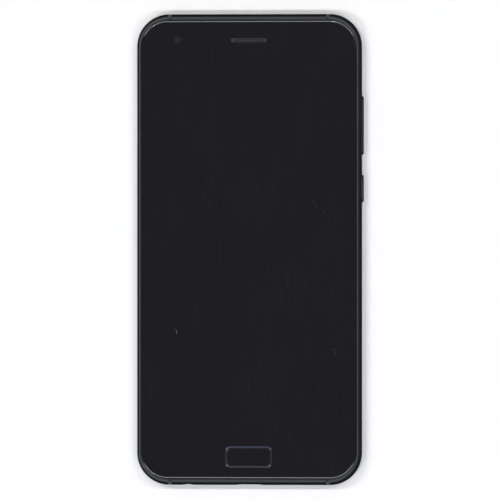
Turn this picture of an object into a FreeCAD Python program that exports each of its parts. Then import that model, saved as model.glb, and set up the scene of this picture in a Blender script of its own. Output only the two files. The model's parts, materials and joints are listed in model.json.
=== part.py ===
import FreeCAD, Part
import math
import os
import re
import Sketcher
from FreeCAD import Vector

# Screen assembly of a phone: cover glass, display module and metal frame.
# It lies on its rear face: +Z is the front, +Y the top of the phone, +X its right side.
# The origin is at the middle of the rear face.

sizes = {
    # Metal frame, seen from the front
    "bodyWidth": 74.4,
    "bodyLength": 155.4,
    "bodyCorner": 10.65,
    "rimWall": 1.75,
    # Its side leans in by the taper above and below a rounded waist
    "waistLift": 2.6,
    "waistRound": 6.0,
    "sideTaper": 19.0,
    "rimChamfer": 0.1,
    # Layers, from the rear face up to the front of the glass
    "cavityDepth": 4.2,
    "plateThickness": 0.4,
    "foamThickness": 0.1,
    "trayThickness": 0.1,
    "reflectorThickness": 0.07,
    "guideThickness": 0.4,
    "diffuserThickness": 0.05,
    "prismThickness": 0.06,
    "rimTapeThickness": 0.06,
    "polarizerThickness": 0.1,
    "panelGlassThickness": 0.15,
    "opticalGlueThickness": 0.15,
    "glassThickness": 0.55,
    "glassProud": 0.35,
    "adhesiveThickness": 0.2,
    # Cover glass in the recess of the frame
    "glassSideInset": 1.5,
    "glassEndInset": 2.05,
    "glassCorner": 9.3,
    "glassRound": 0.45,
    "glassSideGap": 0.1,
    "glassEndGap": 0.3,
    "adhesiveInset": 0.15,
    # Display module, measured from the edges of the glass
    "panelSideInset": 0.75,
    "panelTopInset": 12.95,
    "panelBottomInset": 11.65,
    "panelGap": 0.1,
    "bondGap": 0.15,
    "activeSideBorder": 0.7,
    "activeTopBorder": 1.2,
    "activeBottomBorder": 3.7,
    "driverLedge": 2.6,
    "polarizerInset": 0.2,
    "rearPolarizerMargin": 0.4,
    "chipLength": 24.0,
    "chipWidth": 0.8,
    "chipHeight": 0.2,
    "chipGap": 0.4,
    # Backlight
    "trayWallHeight": 0.6,
    "trayGap": 0.05,
    "filmMargin": 0.15,
    "filmGap": 0.05,
    "guideLead": 1.2,
    "rimTapeInset": 0.2,
    "rimTapeMargin": 0.08,
    "ledCount": 12,
    "ledEndMargin": 3.4,
    "ledWidth": 3.0,
    "ledDepth": 0.8,
    "ledGap": 0.05,
    "ledFlexInset": 2.45,
    "ledFlexThickness": 0.1,
    "ledFlexOverlap": 0.85,
    "ledRoom": 1.8,
    "foamInset": 0.6,
    "foamBand": 2.4,
    # Display flex and its connector
    "flexThickness": 0.1,
    "bondInset": 12.95,
    "bondLength": 0.9,
    "displayTailWidth": 11.0,
    "displayTailRun": 10.0,
    "tailBend": 0.3,
    "tailSlotGap": 0.35,
    "tailSlotRoom": 1.0,
    "tailLift": 0.05,
    "connectorLength": 9.0,
    "connectorWidth": 2.4,
    "connectorHeight": 0.7,
    "connectorWall": 0.5,
    # Plastic mouldings and the metal bars that they carry
    "breakInset": 11.1,
    "breakWidth": 1.0,
    "mouldingReach": 3.0,
    "lugInset": 11.6,
    "lugWidth": 5.0,
    "lugReach": 2.0,
    "lugLift": 0.3,
    "lugHeight": 0.7,
    # Bays, ribs and bosses on the rear
    "keyChannel": 2.45,
    "ribThickness": 0.8,
    "ribDrop": 0.6,
    "batteryTopDrop": 49.7,
    "batteryBottomLift": 31.7,
    "bayCorner": 1.5,
    "keyRibMargin": 3.0,
    "bossInset": 6.05,
    "boardBossDrop": 11.7,
    "boardBossSpacing": 32.5,
    "lowerBossLift": 8.2,
    "lowerBossSpacing": 19.0,
    "bossRadius": 2.1,
    "bossDrop": 0.9,
    "insertRadius": 1.2,
    "insertBore": 0.7,
    "insertLength": 2.6,
    "insertGap": 0.02,
    "plateHoleRadius": 1.5,
    "plateHoleInset": 5.4,
    "plateHoleDrop": 29.7,
    "plateSlotLength": 14.0,
    "plateSlotWidth": 3.0,
    "graphiteSideInset": 4.2,
    "graphiteEndInset": 4.0,
    "graphiteThickness": 0.1,
    # Earpiece
    "earDrop": 8.7,
    "earLength": 12.0,
    "earWidth": 1.65,
    "meshGap": 0.1,
    "meshSink": 0.2,
    "meshThickness": 0.15,
    "meshWall": 0.12,
    "meshFlange": 0.75,
    "meshFlangeThickness": 0.14,
    "meshFlangeGap": 0.2,
    "meshHoleSide": 0.38,
    "meshHolePitch": 0.56,
    "meshRowPitch": 0.64,
    "meshHoleCount": 18,
    "soundSlotLength": 10.4,
    "soundSlotWidth": 1.6,
    "receiverLength": 15.2,
    "receiverWidth": 6.4,
    "receiverPocket": 0.8,
    "receiverCorner": 1.0,
    "receiverGap": 0.2,
    "earGasketThickness": 0.4,
    # Front camera and light sensor
    "cameraInset": 13.7,
    "cameraDrop": 8.6,
    "cameraGasketRadius": 2.2,
    "cameraBore": 1.5,
    "cameraHoleRadius": 1.8,
    "cameraGap": 0.1,
    "sensorSpacing": 5.0,
    "sensorLength": 4.6,
    "sensorWidth": 2.6,
    "sensorWall": 0.45,
    "sensorCorner": 0.8,
    "sensorFlange": 0.5,
    "sensorFlangeThickness": 0.4,
    "sensorGap": 0.05,
    # Home key
    "homeLift": 9.3,
    "homeLength": 15.7,
    "homeWidth": 7.4,
    "homeCorner": 1.8,
    "homeRingGap": 0.1,
    "homeRingSink": 0.05,
    "homeBand": 0.7,
    "homeBandDepth": 0.22,
    "homeKeyGap": 0.05,
    "homeKeyThickness": 0.6,
    "homeFlange": 0.3,
    "homeFlangeThickness": 0.55,
    "homeSealThickness": 0.25,
    "homeSealGap": 0.05,
    "homeWindowGap": 0.15,
    "homeSeatWidth": 1.6,
    "sensorDieLength": 10.5,
    "sensorDieWidth": 4.2,
    "stiffenerThickness": 0.25,
    "homeTailSide": 1.7,
    "homeTailWidth": 3.2,
    "homeTailRun": 11.0,
    "homeConnectorLength": 4.0,
    # Side keys, on the right
    "keyLift": 2.5,
    "keyHeight": 2.4,
    "keyProud": 0.53,
    "keyChamfer": 0.2,
    "keySlotGap": 0.12,
    "keyFlangeReach": 0.7,
    "keyFlangeRise": 0.3,
    "keyFlangeThickness": 0.6,
    "keyFlangeCorner": 0.5,
    "volumeDrop": 36.8,
    "volumeLength": 19.2,
    "rockerGap": 0.3,
    "powerDrop": 57.6,
    "powerLength": 8.9,
    "powerGap": 0.05,
    "volumePadPlace": 6.0,
    "padRadius": 0.9,
    "padThickness": 0.4,
    "domeRadius": 1.0,
    "domeHeight": 0.35,
    "domeChamfer": 0.12,
    "domeBaseLength": 3.0,
    "domeBaseWidth": 2.4,
    "domeBaseHeight": 0.15,
    "bracketThickness": 0.3,
    "bracketDrop": 0.8,
    "bracketTailGap": 0.2,
    "bracketMargin": 1.2,
    "sideFlexHeight": 2.5,
    "sideFlexMargin": 2.5,
    "sideTailWidth": 3.5,
    "sideTailRun": 9.0,
    "sideTailNotch": 0.6,
    # Openings in the edges
    "usbLength": 9.0,
    "usbHeight": 3.2,
    "jackInset": 5.4,
    "jackRadius": 1.85,
    "micSpacing": 7.7,
    "micRadius": 0.5,
    "speakerInset": 4.6,
    "speakerPitch": 2.1,
    "speakerCount": 6,
    "speakerRadius": 0.6,
    "meshCoverThickness": 0.12,
    "meshCoverMargin": 0.5,
    "simDrop": 35.7,
    "simLength": 15.4,
    "simHeight": 2.2,
    "simCorner": 0.8,
    "ejectSpacing": 10.5,
    "ejectRadius": 0.45,
}

# Sizes and places that follow from the ones above
derived = {
    "waistProud": "waistRound * (1 / cos(sideTaper) - 1)",
    "waistWidth": "bodyWidth + 2 * waistProud",
    "waistLength": "bodyLength + 2 * waistProud",
    "waistCorner": "bodyCorner + waistProud",
    "rearDraw": "waistLift * tan(sideTaper)",
    "cavityWidth": "bodyWidth - 2 * rimWall",
    "cavityLength": "bodyLength - 2 * rimWall",
    "cavityCorner": "bodyCorner - rimWall",
    "glassWidth": "bodyWidth - 2 * glassSideInset",
    "glassLength": "bodyLength - 2 * glassEndInset",
    "recessWidth": "glassWidth + 2 * glassSideGap",
    "recessLength": "glassLength + 2 * glassEndGap",
    "recessCorner": "glassCorner + glassSideGap",
    "plateTop": "cavityDepth + plateThickness",
    "trayLow": "plateTop + foamThickness",
    "reflectorLow": "trayLow + trayThickness",
    "guideLow": "reflectorLow + reflectorThickness",
    "diffuserLow": "guideLow + guideThickness",
    "lowerPrismLow": "diffuserLow + diffuserThickness",
    "upperPrismLow": "lowerPrismLow + prismThickness",
    "rimTapeLow": "upperPrismLow + prismThickness",
    "rearPolarizerLow": "rimTapeLow + rimTapeThickness",
    "tftLow": "rearPolarizerLow + polarizerThickness",
    "filterLow": "tftLow + panelGlassThickness",
    "frontPolarizerLow": "filterLow + panelGlassThickness",
    "opticalGlueLow": "frontPolarizerLow + polarizerThickness",
    "glassLow": "opticalGlueLow + opticalGlueThickness",
    "glassTop": "glassLow + glassThickness",
    "rimTop": "glassTop - glassProud",
    "ledge": "glassLow - adhesiveThickness",
    "panelWidth": "glassWidth - 2 * panelSideInset",
    "panelTop": "glassLength / 2 - panelTopInset",
    "panelBottom": "panelBottomInset - glassLength / 2",
    "panelLength": "panelTop - panelBottom",
    "panelCentre": "(panelTop + panelBottom) / 2",
    "filterBottom": "panelBottom + driverLedge",
    "filterLength": "panelTop - filterBottom",
    "filterCentre": "(panelTop + filterBottom) / 2",
    "activeWidth": "panelWidth - 2 * activeSideBorder",
    "activeTop": "panelTop - activeTopBorder",
    "activeBottom": "panelBottom + activeBottomBorder",
    "activeLength": "activeTop - activeBottom",
    "activeCentre": "(activeTop + activeBottom) / 2",
    "bedWidth": "panelWidth + 2 * panelGap",
    "bedLength": "panelLength + 2 * panelGap",
    "bedBottom": "panelBottom - panelGap",
    "filmWidth": "activeWidth + 2 * filmMargin",
    "filmLength": "activeLength + 2 * filmMargin",
    "filmTop": "activeTop + filmMargin",
    "guideBottom": "activeBottom - guideLead",
    "guideLength": "filmTop - guideBottom",
    "guideCentre": "(filmTop + guideBottom) / 2",
    "windowWidth": "filmWidth + 2 * filmGap",
    "windowTop": "filmTop + filmGap",
    "windowBottom": "guideBottom - ledRoom",
    "windowLength": "windowTop - windowBottom",
    "windowCentre": "(windowTop + windowBottom) / 2",
    "topSplit": "panelTop + panelGap - mouldingReach",
    "bottomSplit": "bedBottom + mouldingReach",
    "breakPlace": "bodyWidth / 2 - breakInset",
    "barReach": "breakPlace - breakWidth / 2",
    "mouldingHalf": "breakPlace + breakWidth / 2",
    "lugPlace": "barReach - lugInset",
    "ribOuter": "cavityWidth / 2 - keyChannel",
    "bayWidth": "2 * (ribOuter - ribThickness)",
    "batteryTop": "bodyLength / 2 - batteryTopDrop",
    "batteryBottom": "batteryBottomLift - bodyLength / 2",
    "bayLength": "batteryTop - batteryBottom",
    "bayCentre": "(batteryTop + batteryBottom) / 2",
    "bossAcross": "wallInner - bossInset",
    "boardBossTop": "bodyLength / 2 - boardBossDrop",
    "boardBossBottom": "boardBossTop - boardBossSpacing",
    "lowerBossBottom": "lowerBossLift - bodyLength / 2",
    "lowerBossTop": "lowerBossBottom + lowerBossSpacing",
    "plateHoleAcross": "bossAcross - plateHoleInset",
    "plateHoleTop": "bodyLength / 2 - plateHoleDrop",
    "graphiteWidth": "bayWidth - 2 * graphiteSideInset",
    "graphiteLength": "bayLength - 2 * graphiteEndInset",
    "ledFlexWidth": "windowWidth - 2 * ledFlexInset",
    "ledPitch": "(ledFlexWidth - 2 * ledEndMargin) / (ledCount - 1)",
    "bondWidth": "panelWidth - 2 * bondInset",
    "displayTailPlace": "(bondWidth - displayTailWidth) / 2",
    "earPlace": "bodyLength / 2 - earDrop",
    "meshTop": "glassTop - meshSink",
    "meshFlangeLow": "glassLow - meshFlangeThickness",
    "cameraPlace": "cameraInset - bodyWidth / 2",
    "cameraAlong": "bodyLength / 2 - cameraDrop",
    "sensorPlace": "receiverLength / 2 + sensorSpacing",
    "homePlace": "homeLift - bodyLength / 2",
    "homeRingTop": "glassTop - homeRingSink",
    "homeKeyTop": "homeRingTop - homeBandDepth",
    "homeKeyLow": "homeKeyTop - homeKeyThickness",
    "homeFlangeTop": "glassLow - homeSealThickness",
    "homeFlangeLow": "homeFlangeTop - homeFlangeThickness",
    "homeRingLength": "homeLength - 2 * homeRingGap",
    "homeRingWidth": "homeWidth - 2 * homeRingGap",
    "homeRingCorner": "homeCorner - homeRingGap",
    "homeInnerLength": "homeRingLength - 2 * homeBand",
    "homeInnerWidth": "homeRingWidth - 2 * homeBand",
    "homeInnerCorner": "homeRingCorner - homeBand",
    "homeFlangeLength": "homeRingLength + 2 * homeFlange",
    "homeFlangeWidth": "homeRingWidth + 2 * homeFlange",
    "homeFlangeCorner": "homeRingCorner + homeFlange",
    "homeWindowLength": "homeFlangeLength + 2 * homeWindowGap",
    "homeWindowWidth": "homeFlangeWidth + 2 * homeWindowGap",
    "homeWindowCorner": "homeFlangeCorner + homeWindowGap",
    "homeFlexLow": "homeFlangeLow - flexThickness",
    "stiffenerLow": "homeFlexLow - stiffenerThickness",
    "homeSlotPlace": "homeTailSide / 2 - homeWindowLength / 2",
    "wallInner": "cavityWidth / 2",
    "bracketFace": "ribOuter + bracketThickness",
    "domeSeat": "bracketFace + flexThickness",
    "keyEnd": "bodyWidth / 2 + keyProud",
    "volumePlace": "bodyLength / 2 - volumeDrop",
    "powerPlace": "bodyLength / 2 - powerDrop",
    "rockerFlangeOuter": "wallInner - rockerGap",
    "rockerFlangeInner": "rockerFlangeOuter - keyFlangeThickness",
    "powerFlangeOuter": "wallInner - powerGap",
    "padFace": "rockerFlangeInner - padThickness",
    "sideFlexTop": "volumePlace + volumeLength / 2 + sideFlexMargin",
    "sideFlexBottom": "powerPlace - powerLength / 2",
    "sideTailPlace": "sideFlexTop - sideTailWidth / 2",
    "keyRibTop": "sideFlexTop + keyRibMargin",
    "bracketTop": "sideFlexTop - sideTailWidth - bracketTailGap",
    "bracketBottom": "sideFlexBottom - bracketMargin",
    "jackPlace": "jackInset - barReach",
    "micPlace": "jackPlace + micSpacing",
    "speakerRun": "(speakerCount - 1) * speakerPitch",
    "speakerStart": "barReach - speakerInset - speakerRun",
    "simPlace": "bodyLength / 2 - simDrop",
    "ejectPlace": "simPlace + ejectSpacing",
    "tailTop": "cavityDepth - tailLift",
    "tailLow": "tailTop - flexThickness",
    "displayTailFold": "bedBottom - tailSlotGap",
    "displayTailEnd": "displayTailFold + displayTailRun",
    "homeTailEnd": "homeSlotPlace - homeTailRun",
    "sideTailEnd": "bracketFace - sideTailRun",
}

doc = FreeCAD.newDocument("ScreenAssembly")
sheet = doc.addObject("Spreadsheet::Sheet", "Dims")
for row, (alias, size) in enumerate(sizes.items(), 1):
    sheet.set(f"A{row}", str(size))
    sheet.setAlias(f"A{row}", alias)
doc.recompute()


# Formulas, with every size read from the sheet
def bound(formula):
    def swap(match):
        word = match.group()
        if word in derived:
            return f"({bound(derived[word])})"
        return f"Dims.{word}" if word in sizes else word
    return re.sub(r"[A-Za-z]\w*", swap, formula)


def value(formula):
    return float(sheet.evalExpression(bound(formula)))


def bind(thing, path, formula):
    thing.setExpression(path, bound(formula))


# Sketches and their constraints
def hold(sketch, kind, *points):
    sketch.addConstraint(Sketcher.Constraint(kind, *points))


def drive(sketch, kind, points, formula):
    index = sketch.addConstraint(Sketcher.Constraint(kind, *points, value(formula)))
    bind(sketch, f"Constraints[{index}]", formula)


def locate(sketch, point, across, along):
    for kind, axis, place in (("DistanceX", -2, across), ("DistanceY", -1, along)):
        if place == "0":
            hold(sketch, "PointOnObject", *point, axis)
        else:
            drive(sketch, kind, (-1, 1, *point), place)


def addArc(sketch, centre, radius, start, end):
    circle = Part.Circle(centre, Vector(0, 0, 1), radius)
    sketch.addGeometry(Part.ArcOfCircle(circle, start, end), False)


def addLine(sketch, start, end):
    sketch.addGeometry(Part.LineSegment(start, end), False)


def addCentre(sketch, across, along):
    point = sketch.addGeometry(Part.Point(Vector(value(across), value(along), 0)), True)
    locate(sketch, (point, 1), across, along)
    return point


def circle(radius, across="0", along="0"):
    def draw(sketch):
        middle = Vector(value(across), value(along), 0)
        ring = sketch.addGeometry(Part.Circle(middle, Vector(0, 0, 1), value(radius)), False)
        drive(sketch, "Radius", (ring,), radius)
        locate(sketch, (ring, 3), across, along)
    return draw


def hexagon(radius, across="0", along="0"):
    def draw(sketch):
        middle = Vector(value(across), value(along), 0)
        first = sketch.GeometryCount
        reach = value(radius)
        corners = [middle + Vector(0, reach, 0)]
        for step in range(1, 6):
            turn = math.radians(90 + 60 * step)
            corners.append(middle + Vector(reach * math.cos(turn), reach * math.sin(turn), 0))
        for step in range(6):
            addLine(sketch, corners[step], corners[(step + 1) % 6])
        ring = sketch.addGeometry(Part.Circle(middle, Vector(0, 0, 1), reach), True)
        drive(sketch, "Radius", (ring,), radius)
        locate(sketch, (ring, 3), across, along)
        for step in range(6):
            hold(sketch, "Coincident", first + step, 2, first + (step + 1) % 6, 1)
            hold(sketch, "PointOnObject", first + step, 1, ring)
        for step in range(5):
            hold(sketch, "Equal", first, first + step + 1)
        hold(sketch, "Vertical", first + 1)
    return draw


def rectangle(width, depth, across="0", along="0"):
    def draw(sketch):
        first = sketch.GeometryCount
        halfWidth = value(width) / 2
        halfDepth = value(depth) / 2
        middle = Vector(value(across), value(along), 0)
        signs = ((-1, -1), (1, -1), (1, 1), (-1, 1))
        corners = [middle + Vector(halfWidth * a, halfDepth * b, 0) for a, b in signs]
        for step in range(4):
            addLine(sketch, corners[step], corners[(step + 1) % 4])
        for step in range(4):
            hold(sketch, "Coincident", first + step, 2, first + (step + 1) % 4, 1)
        for step in (0, 2):
            hold(sketch, "Horizontal", first + step)
            hold(sketch, "Vertical", first + step + 1)
        centre = addCentre(sketch, across, along)
        hold(sketch, "Symmetric", first, 1, first + 2, 1, centre, 1)
        drive(sketch, "DistanceX", (first, 1, first, 2), width)
        drive(sketch, "DistanceY", (first + 1, 1, first + 1, 2), depth)
    return draw


def rounded(width, depth, corner, across="0", along="0"):
    def draw(sketch):
        first = sketch.GeometryCount
        halfWidth = value(width) / 2
        halfDepth = value(depth) / 2
        radius = value(corner)
        x = value(across)
        y = value(along)
        left, right = x - halfWidth, x + halfWidth
        low, high = y - halfDepth, y + halfDepth
        quarter = math.pi / 2
        addLine(sketch, Vector(left + radius, low, 0), Vector(right - radius, low, 0))
        addArc(sketch, Vector(right - radius, low + radius, 0), radius, -quarter, 0)
        addLine(sketch, Vector(right, low + radius, 0), Vector(right, high - radius, 0))
        addArc(sketch, Vector(right - radius, high - radius, 0), radius, 0, quarter)
        addLine(sketch, Vector(right - radius, high, 0), Vector(left + radius, high, 0))
        addArc(sketch, Vector(left + radius, high - radius, 0), radius, quarter, 2 * quarter)
        addLine(sketch, Vector(left, high - radius, 0), Vector(left, low + radius, 0))
        addArc(sketch, Vector(left + radius, low + radius, 0), radius, 2 * quarter, 3 * quarter)
        for step in range(8):
            hold(sketch, "Tangent", first + step, 2, first + (step + 1) % 8, 1)
        for step in (0, 4):
            hold(sketch, "Horizontal", first + step)
            hold(sketch, "Vertical", first + step + 2)
        for step in (1, 3, 5):
            hold(sketch, "Equal", first + step, first + step + 2)
        centre = addCentre(sketch, across, along)
        hold(sketch, "Symmetric", first, 1, first + 4, 1, centre, 1)
        drive(sketch, "Radius", (first + 1,), corner)
        drive(sketch, "DistanceX", (first + 6, 1, first + 2, 1), width)
        drive(sketch, "DistanceY", (first, 1, first + 4, 2), depth)
    return draw


def slot(length, width, across="0", along="0"):
    def draw(sketch):
        first = sketch.GeometryCount
        radius = value(width) / 2
        reach = value(length) / 2 - radius
        x = value(across)
        y = value(along)
        quarter = math.pi / 2
        addLine(sketch, Vector(x - reach, y - radius, 0), Vector(x + reach, y - radius, 0))
        addArc(sketch, Vector(x + reach, y, 0), radius, -quarter, quarter)
        addLine(sketch, Vector(x + reach, y + radius, 0), Vector(x - reach, y + radius, 0))
        addArc(sketch, Vector(x - reach, y, 0), radius, quarter, 3 * quarter)
        for step in range(4):
            hold(sketch, "Tangent", first + step, 2, first + (step + 1) % 4, 1)
        hold(sketch, "Horizontal", first)
        centre = addCentre(sketch, across, along)
        hold(sketch, "Symmetric", first, 1, first + 2, 1, centre, 1)
        drive(sketch, "Radius", (first + 1,), f"({width}) / 2")
        drive(sketch, "DistanceX", (first, 1, first, 2), f"({length}) - ({width})")
    return draw


# Open path of level and upright runs that meet in round bends
def bentLine(points, bend):
    def draw(sketch):
        corners = [Vector(value(across), value(along), 0) for across, along in points]
        radius = value(bend)
        runs = len(corners) - 1
        steps = [(corners[n + 1] - corners[n]).normalize() for n in range(runs)]
        starts = [corners[n] + steps[n] * (radius if n else 0) for n in range(runs)]
        ends = [corners[n + 1] - steps[n] * (radius if n < runs - 1 else 0) for n in range(runs)]
        for start, end in zip(starts, ends):
            addLine(sketch, start, end)
        for n in range(runs - 1):
            centre = ends[n] + steps[n + 1] * radius
            turnsLeft = steps[n].cross(steps[n + 1]).z > 0
            limits = (ends[n], starts[n + 1]) if turnsLeft else (starts[n + 1], ends[n])
            first, last = [math.atan2(limit.y - centre.y, limit.x - centre.x) for limit in limits]
            if last < first:
                last += 2 * math.pi
            arc = sketch.GeometryCount
            addArc(sketch, centre, radius, first, last)
            hold(sketch, "Tangent", n, 2, arc, 1 if turnsLeft else 2)
            hold(sketch, "Tangent", arc, 2 if turnsLeft else 1, n + 1, 1)
            drive(sketch, "Radius", (arc,), bend)
        for n, step in enumerate(steps):
            level = abs(step.x) > abs(step.y)
            hold(sketch, "Horizontal" if level else "Vertical", n)
            kind, place = ("DistanceY", points[n][1]) if level else ("DistanceX", points[n][0])
            drive(sketch, kind, (-1, 1, n, 1), place)
        for n, point in ((0, 1), (runs - 1, 2)):
            level = abs(steps[n].x) > abs(steps[n].y)
            corner = points[0] if n == 0 else points[-1]
            kind, place = ("DistanceX", corner[0]) if level else ("DistanceY", corner[1])
            drive(sketch, kind, (-1, 1, n, point), place)
    return draw


# Bodies and their features
planes = {"XY": 1, "YZ": 1, "XZ": -1}


def makeBody(label, across="0", along="0", up="0"):
    body = doc.addObject("PartDesign::Body", label)
    for axis, place in zip("xyz", (across, along, up)):
        if place != "0":
            bind(body, f"Placement.Base.{axis}", place)
    return body


def makeSketch(body, name, plane, level, loops):
    sketch = body.newObject("Sketcher::SketchObject", name + "Sketch")
    role = plane + "_Plane"
    support = [face for face in body.Origin.OriginFeatures if face.Role == role][0]
    sketch.AttachmentSupport = [(support, "")]
    sketch.MapMode = "FlatFace"
    if level != "0":
        bind(sketch, "AttachmentOffset.Base.z", f"{planes[plane]} * ({level})")
    for draw in loops:
        draw(sketch)
    return sketch


# A pad or a pocket fills or clears all that lies between its low and high levels
def extrude(body, kind, name, loops, low, high, plane):
    starts = {("Pad", 1): low, ("Pad", -1): high, ("Pocket", 1): high, ("Pocket", -1): low}
    start = starts[kind, planes[plane]]
    sketch = makeSketch(body, name, plane, start, loops)
    feature = body.newObject(f"PartDesign::{kind}", name)
    feature.Profile = sketch
    bind(feature, "Length", f"({high}) - ({low})")
    body.Tip = feature
    return feature


def pad(body, name, loops, low, high, plane="XY", taper="0"):
    feature = extrude(body, "Pad", name, loops, low, high, plane)
    if taper != "0":
        bind(feature, "TaperAngle", taper)
    return feature


def pocket(body, name, loops, low, high, plane="XY"):
    doc.recompute()
    before = body.Shape.Volume
    feature = extrude(body, "Pocket", name, loops, low, high, plane)
    doc.recompute()
    if not body.Shape.Volume < before:
        raise RuntimeError(f"{body.Label}: {name} cuts nothing")
    return feature


def soften(body, kind, name, size, wanted):
    doc.recompute()
    base = body.Tip
    names = [f"Edge{n}" for n, edge in enumerate(base.Shape.Edges, 1) if wanted(edge)]
    feature = body.newObject(f"PartDesign::{kind}", name)
    feature.Base = (base, names)
    bind(feature, "Radius" if kind == "Fillet" else "Size", size)
    body.Tip = feature
    return feature


def repeat(body, name, original, sketch, axis, count, pitch):
    pattern = body.newObject("PartDesign::LinearPattern", name)
    pattern.Originals = [original]
    pattern.Direction = (sketch, [axis])
    pattern.Mode = "Spacing"
    bind(pattern, "Occurrences", count)
    bind(pattern, "Offset", pitch)
    body.Tip = pattern
    return pattern


# Flat ribbon swept along a bent line, from a section across its start
def ribbon(body, name, path, section):
    pathPlane, place, points = path
    sectionPlane, start, loop = section
    spine = makeSketch(body, name + "Path", pathPlane, place, [bentLine(points, "tailBend")])
    profile = makeSketch(body, name, sectionPlane, start, [loop])
    doc.recompute()
    pipe = body.newObject("PartDesign::AdditivePipe", name)
    pipe.Profile = profile
    pipe.Spine = (spine, [f"Edge{n}" for n in range(1, len(spine.Shape.Edges) + 1)])
    body.Tip = pipe
    return pipe


def levelEdges(level):
    height = value(level)
    return lambda edge: abs(edge.BoundBox.ZMin - height) < 1e-6 and edge.BoundBox.ZLength < 1e-6


def frontEdges(reach):
    end = value(reach)
    return lambda edge: abs(edge.BoundBox.XMin - end) < 1e-6 and edge.BoundBox.XLength < 1e-6


nodes = []


def keep(thing, label):
    thing.Label = label
    nodes.append(thing)
    return thing


# A flat sheet of the display, with its rear face at the given level
def sheetLayer(label, width, length, thickness, along, level):
    body = makeBody(label, along=along, up=level)
    pad(body, "Sheet", [rectangle(width, length)], "0", thickness)
    return keep(body, label)


def region(name, low, high):
    box = doc.addObject("Part::Box", name)
    for axis, side, start, end in zip("xyz", ("Length", "Width", "Height"), low, high):
        bind(box, side, f"({end}) - ({start})")
        bind(box, f"Placement.Base.{axis}", start)
    return box


# Metal frame and the plastic mouldings, worked from one blank so that they meet face to face
def makeBlank():
    blank = makeBody("FrameBlank")
    addBulgedSide(blank)
    cavity = [rounded("cavityWidth", "cavityLength", "cavityCorner")]
    pocket(blank, "RearCavity", cavity, "0", "cavityDepth")
    recess = [rounded("recessWidth", "recessLength", "recessCorner")]
    pocket(blank, "GlassRecess", recess, "ledge", "rimTop")
    bed = [rectangle("bedWidth", "bedLength", "0", "panelCentre")]
    pocket(blank, "PanelBed", bed, "plateTop", "ledge")
    addRearRibs(blank)
    addPlateHoles(blank)
    addKeySlots(blank)
    addEndPorts(blank)
    addEarpieceSeat(blank)
    addHomeSeat(blank)
    return blank


# Both halves of the side lean towards a sharp waist, which is then rounded off to the body's width
def addBulgedSide(blank):
    rear = rounded("waistWidth - 2 * rearDraw", "waistLength - 2 * rearDraw", "waistCorner - rearDraw")
    pad(blank, "RearHalf", [rear], "0", "waistLift", taper="sideTaper")
    waist = rounded("waistWidth", "waistLength", "waistCorner")
    pad(blank, "FrontHalf", [waist], "waistLift", "rimTop", taper="-sideTaper")
    soften(blank, "Fillet", "WaistRound", "waistRound", levelEdges("waistLift"))
    soften(blank, "Chamfer", "RearEdge", "rimChamfer", levelEdges("0"))
    soften(blank, "Chamfer", "FrontEdge", "rimChamfer", levelEdges("rimTop"))


def addRearRibs(blank):
    outer = ("bayWidth + 2 * ribThickness", "bayLength + 2 * ribThickness")
    bay = [
        rounded(*outer, "bayCorner + ribThickness", "0", "bayCentre"),
        rounded("bayWidth", "bayLength", "bayCorner", "0", "bayCentre"),
    ]
    pad(blank, "BatteryRibs", bay, "ribDrop", "cavityDepth")
    ribLength = "keyRibTop - bayCentre"
    ribMiddle = "(keyRibTop + bayCentre) / 2"
    keyRib = [rectangle("ribThickness", ribLength, "ribOuter - ribThickness / 2", ribMiddle)]
    pad(blank, "KeyRib", keyRib, "ribDrop", "cavityDepth")
    notch = [
        rectangle("3 * ribThickness", "sideTailWidth + tailSlotRoom",
                  "ribOuter - ribThickness", "sideTailPlace"),
    ]
    pocket(blank, "TailNotch", notch, "cavityDepth - sideTailNotch", "cavityDepth")
    places = [
        (f"{sign}bossAcross", along)
        for along in ("boardBossTop", "boardBossBottom", "lowerBossTop", "lowerBossBottom")
        for sign in ("-", "")
    ]
    pad(blank, "Bosses", [circle("bossRadius", *place) for place in places], "bossDrop", "cavityDepth")
    holes = [hexagon("insertRadius + insertGap", *place) for place in places]
    pocket(blank, "InsertHoles", holes, "bossDrop", "bossDrop + insertLength")
    return places


def addPlateHoles(blank):
    holes = [circle("plateHoleRadius", f"{sign}plateHoleAcross", "plateHoleTop") for sign in ("-", "")]
    pocket(blank, "PlateHoles", holes, "cavityDepth", "plateTop")
    window = [slot("plateSlotLength", "plateSlotWidth", "0", "plateHoleTop")]
    pocket(blank, "PlateSlot", window, "cavityDepth", "plateTop")


# Through the right wall for the keys, and through the left wall for the card tray
def addKeySlots(blank):
    height = "keyHeight + 2 * keySlotGap"
    keys = [
        slot("volumeLength + 2 * keySlotGap", height, "volumePlace", "keyLift"),
        slot("powerLength + 2 * keySlotGap", height, "powerPlace", "keyLift"),
    ]
    pocket(blank, "KeySlots", keys, "wallInner", "bodyWidth / 2", "YZ")
    card = [
        rounded("simLength", "simHeight", "simCorner", "simPlace", "waistLift"),
        circle("ejectRadius", "ejectPlace", "waistLift"),
    ]
    pocket(blank, "CardSlot", card, "-bodyWidth / 2", "-wallInner", "YZ")


def addEndPorts(blank):
    ports = [
        slot("usbLength", "usbHeight", "0", "waistLift"),
        circle("jackRadius", "jackPlace", "waistLift"),
        circle("micRadius", "micPlace", "waistLift"),
    ]
    wall = ("-bodyLength / 2", "-cavityLength / 2")
    pocket(blank, "Ports", ports, *wall, "XZ")
    hole = [circle("speakerRadius", "speakerStart", "waistLift")]
    grille = pocket(blank, "SpeakerHole", hole, *wall, "XZ")
    repeat(blank, "SpeakerHoles", grille, grille.Profile[0], "H_Axis", "speakerCount", "speakerPitch")


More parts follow.
